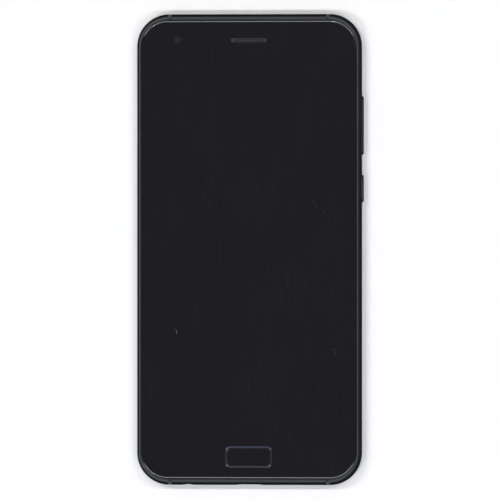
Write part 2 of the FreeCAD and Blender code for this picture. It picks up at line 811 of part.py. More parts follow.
# Sound slot, receiver pocket, camera hole and sensor hole in the shelf above the display
def addEarpieceSeat(blank):
    holes = [
        slot("soundSlotLength", "soundSlotWidth", "0", "earPlace"),
        circle("cameraHoleRadius", "cameraPlace", "cameraAlong"),
        rounded("sensorLength", "sensorWidth", "sensorCorner", "sensorPlace", "earPlace"),
    ]
    pocket(blank, "FrontHoles", holes, "cavityDepth", "ledge")
    receiver = [rounded("receiverLength", "receiverWidth", "receiverCorner", "0", "earPlace")]
    pocket(blank, "ReceiverPocket", receiver, "cavityDepth", "cavityDepth + receiverPocket")


# Stepped window for the home key, and the slots that let the flexes through to the rear
def addHomeSeat(blank):
    window = [rounded("homeWindowLength", "homeWindowWidth", "homeWindowCorner", "0", "homePlace")]
    pocket(blank, "HomeWindow", window, "stiffenerLow", "ledge")
    inner = ("homeWindowLength - 2 * homeSeatWidth", "homeWindowWidth - 2 * homeSeatWidth")
    pocket(blank, "HomeThrough", [rectangle(*inner, "0", "homePlace")], "cavityDepth", "stiffenerLow")
    homeSlot = [rectangle("homeTailSide", "homeTailWidth + tailSlotRoom", "homeSlotPlace", "homePlace")]
    pocket(blank, "HomeTailSlot", homeSlot, "cavityDepth", "stiffenerLow")
    fold = "bedBottom - tailSlotGap"
    displaySlot = [rectangle("displayTailWidth + tailSlotRoom", "2 * tailSlotGap", "displayTailPlace", fold)]
    pocket(blank, "DisplayTailSlot", displaySlot, "cavityDepth", "ledge")


# The end of the frame beyond the breaks, with the bar's own part of it
def makeEndRegions(name, sign):
    clear = "1"
    inner = "topSplit" if sign > 0 else "-bottomSplit"
    end = [f"bodyLength / 2 + {clear}", "cavityLength / 2", inner, "cavityLength / 2 - lugReach"]
    outer, wall, split, lugEnd = [place if sign > 0 else f"-({place})" for place in end]

    def box(part, halfWidth, near, far, low, high, across="0"):
        ends = (near, far) if sign > 0 else (far, near)
        start = (f"{across} - {halfWidth}", ends[0], low)
        return region(name + part, start, (f"{across} + {halfWidth}", ends[1], high))

    below, above = f"-{clear}", f"rimTop + {clear}"
    whole = box("Zone", "mouldingHalf", split, outer, below, above)
    bar = [box("Bar", "barReach", wall, outer, below, above)]
    lugLow = "plateTop + lugLift"
    for number, side in enumerate(("-", "")):
        lug = ("lugWidth / 2", lugEnd, wall, lugLow, f"{lugLow} + lugHeight", f"{side}lugPlace")
        bar.append(box(f"Lug{number}", *lug))
    fused = doc.addObject("Part::MultiFuse", name + "BarRegion")
    fused.Shapes = bar
    return whole, fused


def combine(kind, name, base, tool):
    thing = doc.addObject(f"Part::{kind}", name)
    thing.Base = base
    thing.Tool = tool
    return thing


def makeFrame():
    blank = makeBlank()
    zones = []
    for name, sign in (("top", 1), ("bottom", -1)):
        zone, barRegion = makeEndRegions(name, sign)
        zones.append(zone)
        keep(combine("Common", name + "AntennaBar", blank, barRegion), name + "_antenna_bar")
        end = combine("Common", name + "End", blank, zone)
        keep(combine("Cut", name + "Moulding", end, barRegion), name + "_moulding")
    bothZones = doc.addObject("Part::MultiFuse", "EndZones")
    bothZones.Shapes = zones
    keep(combine("Cut", "midFrame", blank, bothZones), "mid_frame")


def makeInserts():
    inserts = makeBody("ThreadInserts")
    inserts.AllowCompound = True
    rings = []
    for along in ("boardBossTop", "boardBossBottom", "lowerBossTop", "lowerBossBottom"):
        for sign in ("-", ""):
            rings.append(hexagon("insertRadius", f"{sign}bossAcross", along))
            rings.append(circle("insertBore", f"{sign}bossAcross", along))
    pad(inserts, "Rings", rings, "bossDrop", "bossDrop + insertLength")
    keep(inserts, "thread_inserts")


# Cover glass with its rounded front edge, and the tape that holds it in the recess
def makeCoverGlass():
    glass = makeBody("CoverGlass", up="glassLow")
    pad(glass, "Outline", [rounded("glassWidth", "glassLength", "glassCorner")], "0", "glassThickness")
    soften(glass, "Fillet", "FrontRound", "glassRound", levelEdges("glassThickness"))
    holes = [
        slot("earLength", "earWidth", "0", "earPlace"),
        rounded("homeLength", "homeWidth", "homeCorner", "0", "homePlace"),
    ]
    pocket(glass, "Holes", holes, "0", "glassThickness")
    keep(glass, "cover_glass")


def makeDisplayAdhesive():
    tape = makeBody("DisplayAdhesive", up="ledge")
    inset = ("glassWidth - 2 * adhesiveInset", "glassLength - 2 * adhesiveInset")
    pad(tape, "Outline", [rounded(*inset, "glassCorner - adhesiveInset")], "0", "adhesiveThickness")
    window = ("bedWidth + 2 * bondGap", "bedLength + 2 * bondGap")
    pocket(tape, "Window", [rectangle(*window, "0", "panelCentre")], "0", "adhesiveThickness")
    flange = "meshFlange + meshFlangeGap - meshGap"
    holes = [
        slot(f"earLength + 2 * ({flange})", f"earWidth + 2 * ({flange})", "0", "earPlace"),
        circle("cameraGasketRadius + cameraGap", "cameraPlace", "cameraAlong"),
        rectangle("sensorLength + 2 * sensorGap", "sensorWidth + 2 * sensorGap", "sensorPlace", "earPlace"),
        rectangle("homeWindowLength", "homeWindowWidth", "0", "homePlace"),
    ]
    pocket(tape, "Holes", holes, "0", "adhesiveThickness")
    middle = "(panelBottom + homePlace) / 2"
    mouth = [rectangle("homeWindowLength", "panelBottom - homePlace", "0", middle)]
    pocket(tape, "HomeMouth", mouth, "0", "adhesiveThickness")
    keep(tape, "display_adhesive")


# Panel: two sheets of glass between polarizers, glued to the cover glass
def makePanel():
    filterInset = ("panelWidth - 2 * polarizerInset", "filterLength - 2 * polarizerInset")
    sheetLayer("optical_adhesive", *filterInset, "opticalGlueThickness", "filterCentre", "opticalGlueLow")
    sheetLayer("front_polarizer", *filterInset, "polarizerThickness", "filterCentre", "frontPolarizerLow")
    glass = "panelGlassThickness"
    sheetLayer("colour_filter_glass", "panelWidth", "filterLength", glass, "filterCentre", "filterLow")
    sheetLayer("tft_glass", "panelWidth", "panelLength", glass, "panelCentre", "tftLow")
    margin = "2 * rearPolarizerMargin"
    rear = (f"activeWidth + {margin}", f"activeLength + {margin}")
    sheetLayer("rear_polarizer", *rear, "polarizerThickness", "activeCentre", "rearPolarizerLow")
    chip = makeBody("DriverChip", along="filterBottom - chipGap - chipWidth / 2", up="filterLow")
    pad(chip, "Die", [rectangle("chipLength", "chipWidth")], "0", "chipHeight")
    keep(chip, "driver_chip")


# Films of the backlight
def makeFilms():
    layers = (
        ("upper_prism_sheet", "upperPrismLow", "prismThickness"),
        ("lower_prism_sheet", "lowerPrismLow", "prismThickness"),
        ("diffuser_sheet", "diffuserLow", "diffuserThickness"),
    )
    for label, level, thickness in layers:
        sheetLayer(label, "filmWidth", "filmLength", thickness, "activeCentre", level)


def makeBacklight():
    makeFilms()
    guide = makeBody("LightGuide", along="guideCentre", up="guideLow")
    pad(guide, "Plate", [rectangle("filmWidth", "guideLength")], "0", "guideThickness")
    keep(guide, "light_guide_plate")
    reflectorLength = "windowLength - 2 * filmGap"
    sheetLayer("reflector_sheet", "filmWidth", reflectorLength, "reflectorThickness",
               "windowCentre", "reflectorLow")
    makeTray()
    mould = makeBody("MouldFrame", up="reflectorLow")
    inset = "2 * (trayThickness + trayGap)"
    loops = [
        rectangle(f"panelWidth - {inset}", f"panelLength - {inset}", "0", "panelCentre"),
        rectangle("windowWidth", "windowLength", "0", "windowCentre"),
    ]
    pad(mould, "Frame", loops, "0", "rimTapeLow - reflectorLow")
    keep(mould, "backlight_mould_frame")
    rim = makeBody("RimTape", up="rimTapeLow")
    loops = [
        rectangle("panelWidth - 2 * rimTapeInset", "panelLength - 2 * rimTapeInset", "0", "panelCentre"),
        rectangle("activeWidth + 2 * rimTapeMargin", "activeLength + 2 * rimTapeMargin",
                  "0", "activeCentre"),
    ]
    pad(rim, "Ring", loops, "0", "rimTapeThickness")
    keep(rim, "rim_tape")
    makeLeds()
    foam = makeBody("DisplayFoam", along="panelCentre", up="plateTop")
    outer = ("panelWidth - 2 * foamInset", "panelLength - 2 * foamInset")
    inner = [f"{size} - 2 * foamBand" for size in outer]
    pad(foam, "Ring", [rectangle(*outer), rectangle(*inner)], "0", "foamThickness")
    keep(foam, "display_foam")


# Pressed steel tray with a low wall all round
def makeTray():
    tray = makeBody("BacklightTray", along="panelCentre", up="trayLow")
    outer = rectangle("panelWidth", "panelLength")
    pad(tray, "Floor", [outer], "0", "trayThickness")
    inner = rectangle("panelWidth - 2 * trayThickness", "panelLength - 2 * trayThickness")
    pad(tray, "Wall", [outer, inner], "trayThickness", "trayWallHeight")
    keep(tray, "backlight_tray")


# Row of lamps that shine into the lower edge of the light guide, on a flex above them
def makeLeds():
    strip = makeBody("LedFlex", up="diffuserLow")
    top = "guideBottom + ledFlexOverlap"
    bottom = "windowBottom + filmGap"
    loops = [rectangle("ledFlexWidth", f"{top} - ({bottom})", "0", f"({top} + {bottom}) / 2")]
    pad(strip, "Strip", loops, "0", "ledFlexThickness")
    keep(strip, "led_flex")
    leds = makeBody("BacklightLeds", up="guideLow")
    leds.AllowCompound = True
    first = rectangle("ledWidth", "ledDepth", "-ledPitch * (ledCount - 1) / 2",
                      "guideBottom - ledGap - ledDepth / 2")
    lamp = pad(leds, "Lamp", [first], "0", "guideThickness")
    repeat(leds, "Lamps", lamp, lamp.Profile[0], "H_Axis", "ledCount", "ledPitch")
    keep(leds, "backlight_leds")


# Flex bonded to the ledge of the panel, folded down through its slot and back under the plate
def makeDisplayFlex():
    flex = makeBody("DisplayFlex")
    bond = [rectangle("bondWidth", "bondLength", "0", "panelBottom + bondLength / 2")]
    pad(flex, "Bond", bond, "filterLow", "filterLow + flexThickness")
    bondMiddle = "filterLow + flexThickness / 2"
    tailMiddle = "tailLow + flexThickness / 2"
    points = (
        ("panelBottom", bondMiddle),
        ("displayTailFold", bondMiddle),
        ("displayTailFold", tailMiddle),
        ("displayTailEnd", tailMiddle),
    )
    section = rectangle("displayTailWidth", "flexThickness", "displayTailPlace", bondMiddle)
    ribbon(flex, "Tail", ("YZ", "displayTailPlace", points), ("XZ", "panelBottom", section))
    keep(flex, "display_flex")
    makeConnector("display_connector", "connectorLength", "connectorWidth", "displayTailPlace",
                  "displayTailEnd - connectorWidth / 2 - connectorWall")


# Low plug with a trough, under the end of a flex
def makeConnector(label, length, width, across, along):
    plug = makeBody(label, across, along, "tailLow - connectorHeight")
    pad(plug, "Block", [rectangle(length, width)], "0", "connectorHeight")
    trough = [rectangle(f"{length} - 2 * connectorWall", f"{width} - 2 * connectorWall")]
    pocket(plug, "Trough", trough, "0", "connectorHeight / 2")
    keep(plug, label)


# Pressed metal cup in the slot of the glass, with two staggered rows of holes
def makeEarpieceMesh():
    mesh = makeBody("EarpieceMesh", along="earPlace")
    length = "earLength - 2 * meshGap"
    width = "earWidth - 2 * meshGap"
    flange = [slot(f"{length} + 2 * meshFlange", f"{width} + 2 * meshFlange")]
    pad(mesh, "Flange", flange, "meshFlangeLow", "glassLow")
    pad(mesh, "Cup", [slot(length, width)], "glassLow", "meshTop")
    hollow = [slot(f"{length} - 2 * meshWall", f"{width} - 2 * meshWall")]
    face = "meshTop - meshThickness"
    pocket(mesh, "Hollow", hollow, "meshFlangeLow", face)
    row = "meshHolePitch * (meshHoleCount - 0.5) / 2"
    hole = ("meshHoleSide", "meshHoleSide")
    holes = [
        rectangle(*hole, f"-({row})", "meshRowPitch / 2"),
        rectangle(*hole, f"meshHolePitch / 2 - ({row})", "-meshRowPitch / 2"),
    ]
    pair = pocket(mesh, "HolePair", holes, face, "meshTop")
    repeat(mesh, "HoleRows", pair, pair.Profile[0], "H_Axis", "meshHoleCount", "meshHolePitch")
    keep(mesh, "earpiece_mesh")


def makeEarpieceGasket():
    gasket = makeBody("EarpieceGasket", along="earPlace",
                      up="cavityDepth + receiverPocket - earGasketThickness")
    loops = [
        rounded("receiverLength - 2 * receiverGap", "receiverWidth - 2 * receiverGap",
                "receiverCorner"),
        slot("soundSlotLength", "soundSlotWidth"),
    ]
    pad(gasket, "Ring", loops, "0", "earGasketThickness")
    keep(gasket, "earpiece_gasket")


def makeCameraGasket():
    gasket = makeBody("CameraGasket", "cameraPlace", "cameraAlong", "ledge")
    pad(gasket, "Ring", [circle("cameraGasketRadius"), circle("cameraBore")], "0", "adhesiveThickness")
    keep(gasket, "camera_gasket")


# Rubber tube round the light sensor, with a flange under the shelf
def makeSensorSleeve():
    sleeve = makeBody("SensorSleeve", "sensorPlace", "earPlace")
    length = "sensorLength - 2 * sensorGap"
    width = "sensorWidth - 2 * sensorGap"
    bore = rectangle(f"{length} - 2 * sensorWall", f"{width} - 2 * sensorWall")
    tube = [rounded(length, width, "sensorCorner - sensorGap"), bore]
    pad(sleeve, "Tube", tube, "cavityDepth", "glassLow - sensorGap")
    wide = rectangle(f"{length} + 2 * sensorFlange", f"{width} + 2 * sensorFlange")
    pad(sleeve, "Flange", [wide, bore], "cavityDepth - sensorFlangeThickness", "cavityDepth")
    keep(sleeve, "sensor_sleeve")


# Bezel of the home key, with a band that slopes down to the key
def makeHomeRing():
    ring = makeBody("HomeRing", along="homePlace")
    inner = rounded("homeInnerLength", "homeInnerWidth", "homeInnerCorner")
    flange = rounded("homeFlangeLength", "homeFlangeWidth", "homeFlangeCorner")
    outer = rounded("homeRingLength", "homeRingWidth", "homeRingCorner")
    pad(ring, "Flange", [flange, inner], "homeFlangeLow", "homeFlangeTop")
    pad(ring, "Rim", [outer, inner], "homeFlangeTop", "homeRingTop")
    band = ring.newObject("PartDesign::SubtractiveLoft", "Band")
    edge = "homeRingSink"
    wide = rounded(f"homeRingLength - 2 * {edge}", f"homeRingWidth - 2 * {edge}", f"homeRingCorner - {edge}")
    band.Profile = makeSketch(ring, "BandOuter", "XY", "homeRingTop", [wide])
    band.Sections = [makeSketch(ring, "BandInner", "XY", "homeKeyTop", [inner])]
    band.Ruled = True
    ring.Tip = band
    keep(ring, "home_ring")


def makeHomeKey():
    key = makeBody("HomeKey", along="homePlace", up="homeKeyLow")
    gap = "2 * homeKeyGap"
    face = rounded(f"homeInnerLength - {gap}", f"homeInnerWidth - {gap}", "homeInnerCorner - homeKeyGap")
    pad(key, "Face", [face], "0", "homeKeyThickness")
    keep(key, "home_key")
    sensor = makeBody("FingerprintSensor", along="homePlace", up="homeFlangeLow")
    die = [rounded("sensorDieLength", "sensorDieWidth", "connectorWall")]
    pad(sensor, "Die", die, "0", "homeKeyLow - homeFlangeLow")
    keep(sensor, "fingerprint_sensor")
    seal = makeBody("HomeSeal", along="homePlace", up="homeFlangeTop")
    gap = "2 * homeSealGap"
    loops = [
        rounded("homeFlangeLength", "homeFlangeWidth", "homeFlangeCorner"),
        rounded(f"homeRingLength + {gap}", f"homeRingWidth + {gap}", "homeRingCorner + homeSealGap"),
    ]
    pad(seal, "Ring", loops, "0", "homeSealThickness")
    keep(seal, "home_seal")


# Flex under the home key, with a tail that drops through its slot, and the plate that backs it
def makeHomeFlex():
    flex = makeBody("HomeFlex", along="homePlace")
    left = "homeSlotPlace + homeTailSide / 2"
    right = "homeFlangeLength / 2"
    middle = f"({left} + {right}) / 2"
    padLoop = rounded(f"{right} - ({left})", "homeInnerWidth", "homeInnerCorner", middle)
    pad(flex, "Pad", [padLoop], "homeFlexLow", "homeFlangeLow")
    flexMiddle = "homeFlexLow + flexThickness / 2"
    tailMiddle = "tailLow + flexThickness / 2"
    root = f"{left} + tailBend"
    points = (
        (root, flexMiddle),
        ("homeSlotPlace", flexMiddle),
        ("homeSlotPlace", tailMiddle),
        ("homeTailEnd", tailMiddle),
    )
    section = rectangle("homeTailWidth", "flexThickness", "0", flexMiddle)
    ribbon(flex, "Tail", ("XZ", "0", points), ("YZ", root, section))
    keep(flex, "home_flex")
    makeConnector("home_connector", "homeConnectorLength", "connectorWidth",
                  "homeTailEnd + homeConnectorLength / 2", "homePlace")
    plate = makeBody("HomeStiffener", along="homePlace", up="stiffenerLow")
    loops = [rounded(f"{right} - ({left})", "homeFlangeWidth", "homeFlangeCorner", middle)]
    pad(plate, "Plate", loops, "0", "stiffenerThickness")
    keep(plate, "home_stiffener")


# Key cap in its wall slot, with a flange behind the wall; its rubber pads face the switches
def makeSideKey(name, label, place, length, flangeOuter, padPlaces):
    key = makeBody(name, along=place, up="keyLift")
    inner = f"{flangeOuter} - keyFlangeThickness"
    flange = rounded(f"{length} + 2 * keyFlangeReach", "keyHeight + 2 * keyFlangeRise", "keyFlangeCorner")
    pad(key, "Flange", [flange], inner, flangeOuter, "YZ")
    pad(key, "Cap", [slot(length, "keyHeight")], flangeOuter, "keyEnd", "YZ")
    soften(key, "Chamfer", "CapChamfer", "keyChamfer", frontEdges("keyEnd"))
    keep(key, label)
    pads = makeBody(name + "Pads", along=place, up="keyLift")
    pads.AllowCompound = True
    circles = [circle("padRadius", across) for across in padPlaces]
    pad(pads, "Pads", circles, "padFace", inner, "YZ")
    keep(pads, label + ("_pads" if len(padPlaces) > 1 else "_pad"))


# Switches of the side keys, on a flex against a bracket that stands on the rib
def makeSideSwitches():
    bracket = makeBody("SideKeyBracket")
    length = "bracketTop - bracketBottom"
    middle = "(bracketTop + bracketBottom) / 2"
    height = "cavityDepth - bracketDrop"
    plate = [rectangle(length, height, middle, "(cavityDepth + bracketDrop) / 2")]
    pad(bracket, "Plate", plate, "ribOuter", "bracketFace", "YZ")
    keep(bracket, "side_key_bracket")
    flex = makeBody("SideKeyFlex")
    length = "sideFlexTop - sideFlexBottom"
    middle = "(sideFlexTop + sideFlexBottom) / 2"
    strip = [rectangle(length, "sideFlexHeight", middle, "keyLift")]
    pad(flex, "Strip", strip, "bracketFace", "domeSeat", "YZ")
    flexMiddle = "bracketFace + flexThickness / 2"
    tailMiddle = "tailLow + flexThickness / 2"
    stripTop = "keyLift + sideFlexHeight / 2"
    points = (
        (flexMiddle, stripTop),
        (flexMiddle, tailMiddle),
        ("sideTailEnd", tailMiddle),
    )
    section = rectangle("flexThickness", "sideTailWidth", flexMiddle, "sideTailPlace")
    ribbon(flex, "Tail", ("XZ", "sideTailPlace", points), ("XY", stripTop, section))
    keep(flex, "side_key_flex")
    domes = makeBody("DomeSwitches", up="keyLift")
    domes.AllowCompound = True
    places = ("volumePlace - volumePadPlace", "volumePlace + volumePadPlace", "powerPlace")
    base = "domeSeat + domeBaseHeight"
    bases = [rectangle("domeBaseLength", "domeBaseWidth", place) for place in places]
    pad(domes, "Bases", bases, "domeSeat", base, "YZ")
    circles = [circle("domeRadius", place) for place in places]
    pad(domes, "Domes", circles, base, "domeSeat + domeHeight", "YZ")
    soften(domes, "Chamfer", "DomeChamfer", "domeChamfer", frontEdges("domeSeat + domeHeight"))
    keep(domes, "dome_switches")


# Fine cloth over the sound holes, on the inner face of the lower wall
def makeEndMeshes():
    face = "-cavityLength / 2"
    reach = "speakerRadius + meshCoverMargin"
    length = f"speakerRun + 2 * ({reach})"
    middle = "speakerStart + speakerRun / 2"
    cloth = makeBody("SpeakerMesh", middle, "0", "waistLift")
    pad(cloth, "Cloth", [slot(length, f"2 * ({reach})")], face, f"{face} + meshCoverThickness", "XZ")
    keep(cloth, "speaker_mesh")
    disc = makeBody("MicMesh", "micPlace", "0", "waistLift")
    loops = [circle("micRadius + meshCoverMargin")]
    pad(disc, "Disc", loops, face, f"{face} + meshCoverThickness", "XZ")
    keep(disc, "mic_mesh")


def makeGraphite():
    sheetLayer("graphite_sheet", "graphiteWidth", "graphiteLength", "graphiteThickness", "bayCentre",
               "cavityDepth - graphiteThickness")


def writeParts():
    os.makedirs("parts", exist_ok=True)
    for thing in doc.Objects:
        if "Invalid" in thing.State or "Error" in thing.State:
            raise RuntimeError(f"{thing.Label} did not compute: {thing.State}")
    for node in nodes:
        if node.Shape.isNull() or not node.Shape.isValid() or not node.Shape.Solids:
            raise RuntimeError(f"{node.Label} has no valid solid")
    for node in nodes:
        node.Shape.exportStep(f"parts/{node.Label}.step")


makeFrame()
makeInserts()
makeCoverGlass()
makeDisplayAdhesive()
makePanel()
makeDisplayFlex()
makeBacklight()
makeEarpieceMesh()
makeEarpieceGasket()
makeCameraGasket()
makeSensorSleeve()
makeHomeRing()
makeHomeKey()
makeHomeFlex()
volumePads = ("-volumePadPlace", "volumePadPlace")
makeSideKey("VolumeKey", "volume_rocker", "volumePlace", "volumeLength", "rockerFlangeOuter", volumePads)
makeSideKey("PowerKey", "power_key", "powerPlace", "powerLength", "powerFlangeOuter", ("0",))
makeSideSwitches()
makeEndMeshes()
makeGraphite()
doc.recompute()
writeParts()
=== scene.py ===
import json
import math
import bmesh
import bpy
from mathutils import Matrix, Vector

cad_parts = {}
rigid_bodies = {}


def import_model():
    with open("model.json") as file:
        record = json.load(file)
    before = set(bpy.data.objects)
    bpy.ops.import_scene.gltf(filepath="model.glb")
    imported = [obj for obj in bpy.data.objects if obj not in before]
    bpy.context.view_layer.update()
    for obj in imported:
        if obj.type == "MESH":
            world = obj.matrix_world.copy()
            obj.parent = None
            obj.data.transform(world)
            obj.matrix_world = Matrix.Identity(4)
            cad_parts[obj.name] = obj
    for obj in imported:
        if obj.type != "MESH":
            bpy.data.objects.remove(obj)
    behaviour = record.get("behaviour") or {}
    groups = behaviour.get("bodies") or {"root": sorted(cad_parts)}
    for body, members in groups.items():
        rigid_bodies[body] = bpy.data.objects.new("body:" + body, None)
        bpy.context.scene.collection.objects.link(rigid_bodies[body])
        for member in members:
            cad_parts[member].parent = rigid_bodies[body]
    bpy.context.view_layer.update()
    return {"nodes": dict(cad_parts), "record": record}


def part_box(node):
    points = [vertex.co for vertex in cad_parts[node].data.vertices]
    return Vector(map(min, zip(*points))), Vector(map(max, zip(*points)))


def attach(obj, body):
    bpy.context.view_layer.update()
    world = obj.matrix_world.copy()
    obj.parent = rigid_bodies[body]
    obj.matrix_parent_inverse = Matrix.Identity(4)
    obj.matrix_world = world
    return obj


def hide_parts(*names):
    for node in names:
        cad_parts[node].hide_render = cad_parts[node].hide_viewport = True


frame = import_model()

mm = 0.001
record = frame["record"]
bodyOf = {node: body for body, members in record["behaviour"]["bodies"].items() for node in members}
slotOf = {part["node"]: part["material_slot"] for part in record["subparts"]}
print("frame loaded:", len(frame["nodes"]), "nodes")


# Camera, at the angle of the photograph: straight down, leaning a little to the side with the keys.
# The lean is in degrees, distance and clip are in metres, and lens, sensor and aim in mm.
view = {
    "lean": 4.6,
    "distance": 2.75,
    "lens": 600,
    "sensor": 36,
    "clip": 20,
    "aim": (0.22, -0.15, 3.3),
}


def makeCamera():
    data = bpy.data.cameras.new("photoCamera")
    data.lens = view["lens"]
    data.sensor_width = view["sensor"]
    data.clip_end = view["clip"]
    camera = bpy.data.objects.new("photoCamera", data)
    bpy.context.scene.collection.objects.link(camera)
    lean = math.radians(view["lean"])
    aim = Vector(view["aim"]) * mm
    camera.location = aim + view["distance"] * Vector((math.sin(lean), 0, math.cos(lean)))
    camera.rotation_euler = (0, lean, 0)
    bpy.context.scene.camera = camera


# Sky: dim overhead, so that the glass stays black, with a bluish panel beyond the home key. Its levels
# go from straight down, at 0, to straight up, at 1. The camera itself sees two plain tones.
sky = {
    "levels": [(0.0, 0.55), (0.47, 0.62), (0.53, 0.10), (0.66, 0.10), (0.85, 0.14), (1.0, 0.235)],
    "tint": (0.97, 0.985, 1.06),
    "panelTilt": 37,
    "panelSpan": (0.955, 0.985),
    "panelColour": (0.72, 0.90, 1.75),
    "seenAbove": 1.0,
    "seenBelow": 0.012,
    "seam": 0.001,
}


def makeSky():
    world = bpy.data.worlds.new("studioSky")
    bpy.context.scene.world = world
    world.use_nodes = True
    tree = world.node_tree
    tree.nodes.clear()
    place = tree.nodes.new("ShaderNodeTexCoord").outputs["Generated"]
    split = addNode(tree, "SeparateXYZ", {"Vector": place})
    height = arithmetic(tree, "MULTIPLY_ADD", split.outputs["Z"], 0.5, 0.5)
    stops = [(at, [level * tone for tone in sky["tint"]]) for at, level in sky["levels"]]
    shade = colourRamp(tree, height, stops)
    tilt = math.radians(sky["panelTilt"])
    towards = vectorStep(tree, "DOT_PRODUCT", place, (0, -math.sin(tilt), math.cos(tilt)))
    colour = blendColours(tree, rampBetween(tree, towards, *sky["panelSpan"]), shade, sky["panelColour"])
    path = tree.nodes.new("ShaderNodeLightPath")
    above = rampBetween(tree, split.outputs["Z"], -sky["seam"], sky["seam"])
    seen = blendColours(tree, above, [sky["seenBelow"]] * 3, [sky["seenAbove"]] * 3)
    colour = blendColours(tree, path.outputs["Is Camera Ray"], colour, seen)
    light = addNode(tree, "Background", {"Color": colour, "Strength": 1.0})
    out = tree.nodes.new("ShaderNodeOutputWorld")
    tree.links.new(light.outputs[0], out.inputs[0])


# Lamps: two rows of far, soft lamps close to overhead, with more of them to the left. Places are in
# degrees from overhead, and each column has its share of the power.
lamps = {
    "power": 3.0,
    "softness": 4,
    "rows": (-21, 21),
    "columns": ((-31, 0.14), (-25, 0.15), (-19, 0.19), (0, 0.19), (17, 0.12), (23, 0.12), (30, 0.09)),
}


def makeLamps():
    for row in lamps["rows"]:
        for column, share in lamps["columns"]:
            data = bpy.data.lights.new("softLamp", "SUN")
            data.energy = lamps["power"] * share / len(lamps["rows"])
            data.angle = math.radians(lamps["softness"])
            lamp = bpy.data.objects.new("softLamp", data)
            bpy.context.scene.collection.objects.link(lamp)
            towards = Vector((math.tan(math.radians(column)), math.tan(math.radians(row)), 1))
            lamp.rotation_euler = towards.to_track_quat("Z", "Y").to_euler()


# Bars: long lamps whose gloss shows on the named piece alone, one beyond the top end and one at the left.
# Lengths are in metres, the tilt is in degrees from overhead, and the power in watts.
bars = {
    "away": 1.5,
    "places": [
        {"towards": (0, 1), "tilt": 50, "length": 3.8, "height": 0.5, "power": 7, "piece": "HomeRing"},
        {"towards": (-1, 0), "tilt": 62, "length": 1.6, "height": 1.0, "power": 30, "piece": "MidFrame"},
    ],
}


def makeBars():
    for place in bars["places"]:
        lit = bpy.data.collections.new("barPiece")
        lit.objects.link(bpy.data.objects[place["piece"]])
        data = bpy.data.lights.new("longBar", "AREA")
        data.shape = "ELLIPSE"
        data.size = place["length"]
        data.size_y = place["height"]
        data.energy = place["power"]
        bar = bpy.data.objects.new("longBar", data)
        bpy.context.scene.collection.objects.link(bar)
        tilt = math.radians(place["tilt"])
        flat = Vector((*place["towards"], 0)) * math.sin(tilt)
        towards = flat + Vector((0, 0, math.cos(tilt)))
        bar.location = bars["away"] * towards
        bar.rotation_euler = towards.to_track_quat("Z", "Y").to_euler()
        bar.visible_camera = False
        bar.visible_diffuse = False
        bar.light_linking.receiver_collection = lit


# Floor: a pale sheet with an opening under the part, so that its rear can be seen from below
floorSheet = {
    "half": 2500 * mm,
    "inset": 2.2 * mm,
    "corner": 9 * mm,
    "steps": 8,
    "colour": (0.888, 0.882, 0.865),
    "roughness": 0.9,
    "specular": 0.1,
    "glow": 0.10,
}


def makeFloor():
    low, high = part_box("mid_frame")
    halfX = high.x - floorSheet["inset"]
    halfY = high.y - floorSheet["inset"]
    corner = floorSheet["corner"]
    inner = []
    for turn, (sideX, sideY) in enumerate(((1, 1), (-1, 1), (-1, -1), (1, -1))):
        centre = (sideX * (halfX - corner), sideY * (halfY - corner))
        for step in range(floorSheet["steps"] + 1):
            angle = math.radians(90 * (turn + step / floorSheet["steps"]))
            inner.append((centre[0] + corner * math.cos(angle), centre[1] + corner * math.sin(angle)))
    mesh = bmesh.new()
    ring = [mesh.verts.new((x, y, 0)) for x, y in inner]
    reach = floorSheet["half"]
    outer = []
    for x, y in inner:
        scale = reach / max(abs(x) / halfX, abs(y) / halfY)  # out to the edge of a square
        outer.append(mesh.verts.new((x * scale / halfX, y * scale / halfY, 0)))
    count = len(ring)
    for step in range(count):
        after = (step + 1) % count
        mesh.faces.new((ring[step], outer[step], outer[after], ring[after]))
    data = bpy.data.meshes.new("floorSheet")
    mesh.to_mesh(data)
    mesh.free()
    floor = bpy.data.objects.new("floorSheet", data)
    bpy.context.scene.collection.objects.link(floor)
    data.materials.append(makePaper())


# Paper with a slight glow for the camera and in reflections, clear when it is seen from below
def makePaper():
    material = bpy.data.materials.new("paper")
    material.use_nodes = True
    tree = material.node_tree
    shader = tree.nodes["Principled BSDF"]
    shader.inputs["Base Color"].default_value = (*floorSheet["colour"], 1)
    shader.inputs["Roughness"].default_value = floorSheet["roughness"]
    shader.inputs["Specular IOR Level"].default_value = floorSheet["specular"]
    path = tree.nodes.new("ShaderNodeLightPath")
    seen = arithmetic(tree, "MAXIMUM", path.outputs["Is Camera Ray"], path.outputs["Is Glossy Ray"])
    seen = arithmetic(tree, "MAXIMUM", seen, path.outputs["Is Transmission Ray"])
    shader.inputs["Emission Color"].default_value = (1, 1, 1, 1)
    glow = arithmetic(tree, "MULTIPLY", seen, floorSheet["glow"])
    tree.links.new(glow, shader.inputs["Emission Strength"])
    behind = tree.nodes.new("ShaderNodeNewGeometry")
    clear = tree.nodes.new("ShaderNodeBsdfTransparent")
    mix = tree.nodes.new("ShaderNodeMixShader")
    tree.links.new(behind.outputs["Backfacing"], mix.inputs[0])
    tree.links.new(shader.outputs[0], mix.inputs[1])
    tree.links.new(clear.outputs[0], mix.inputs[2])
    tree.links.new(mix.outputs[0], tree.nodes["Material Output"].inputs[0])
    return material


# Small helpers for shader trees
def addNode(tree, kind, sockets=None, **settings):
    node = tree.nodes.new("ShaderNode" + kind)
    for name, setting in settings.items():
        setattr(node, name, setting)
    for name, source in (sockets or {}).items():
        plug(tree, node.inputs[name], source)
    return node


def plug(tree, socket, source):
    if isinstance(source, bpy.types.NodeSocket):
        tree.links.new(source, socket)
    elif socket.type == "RGBA":
        socket.default_value = (*source, 1)
    else:
        socket.default_value = source


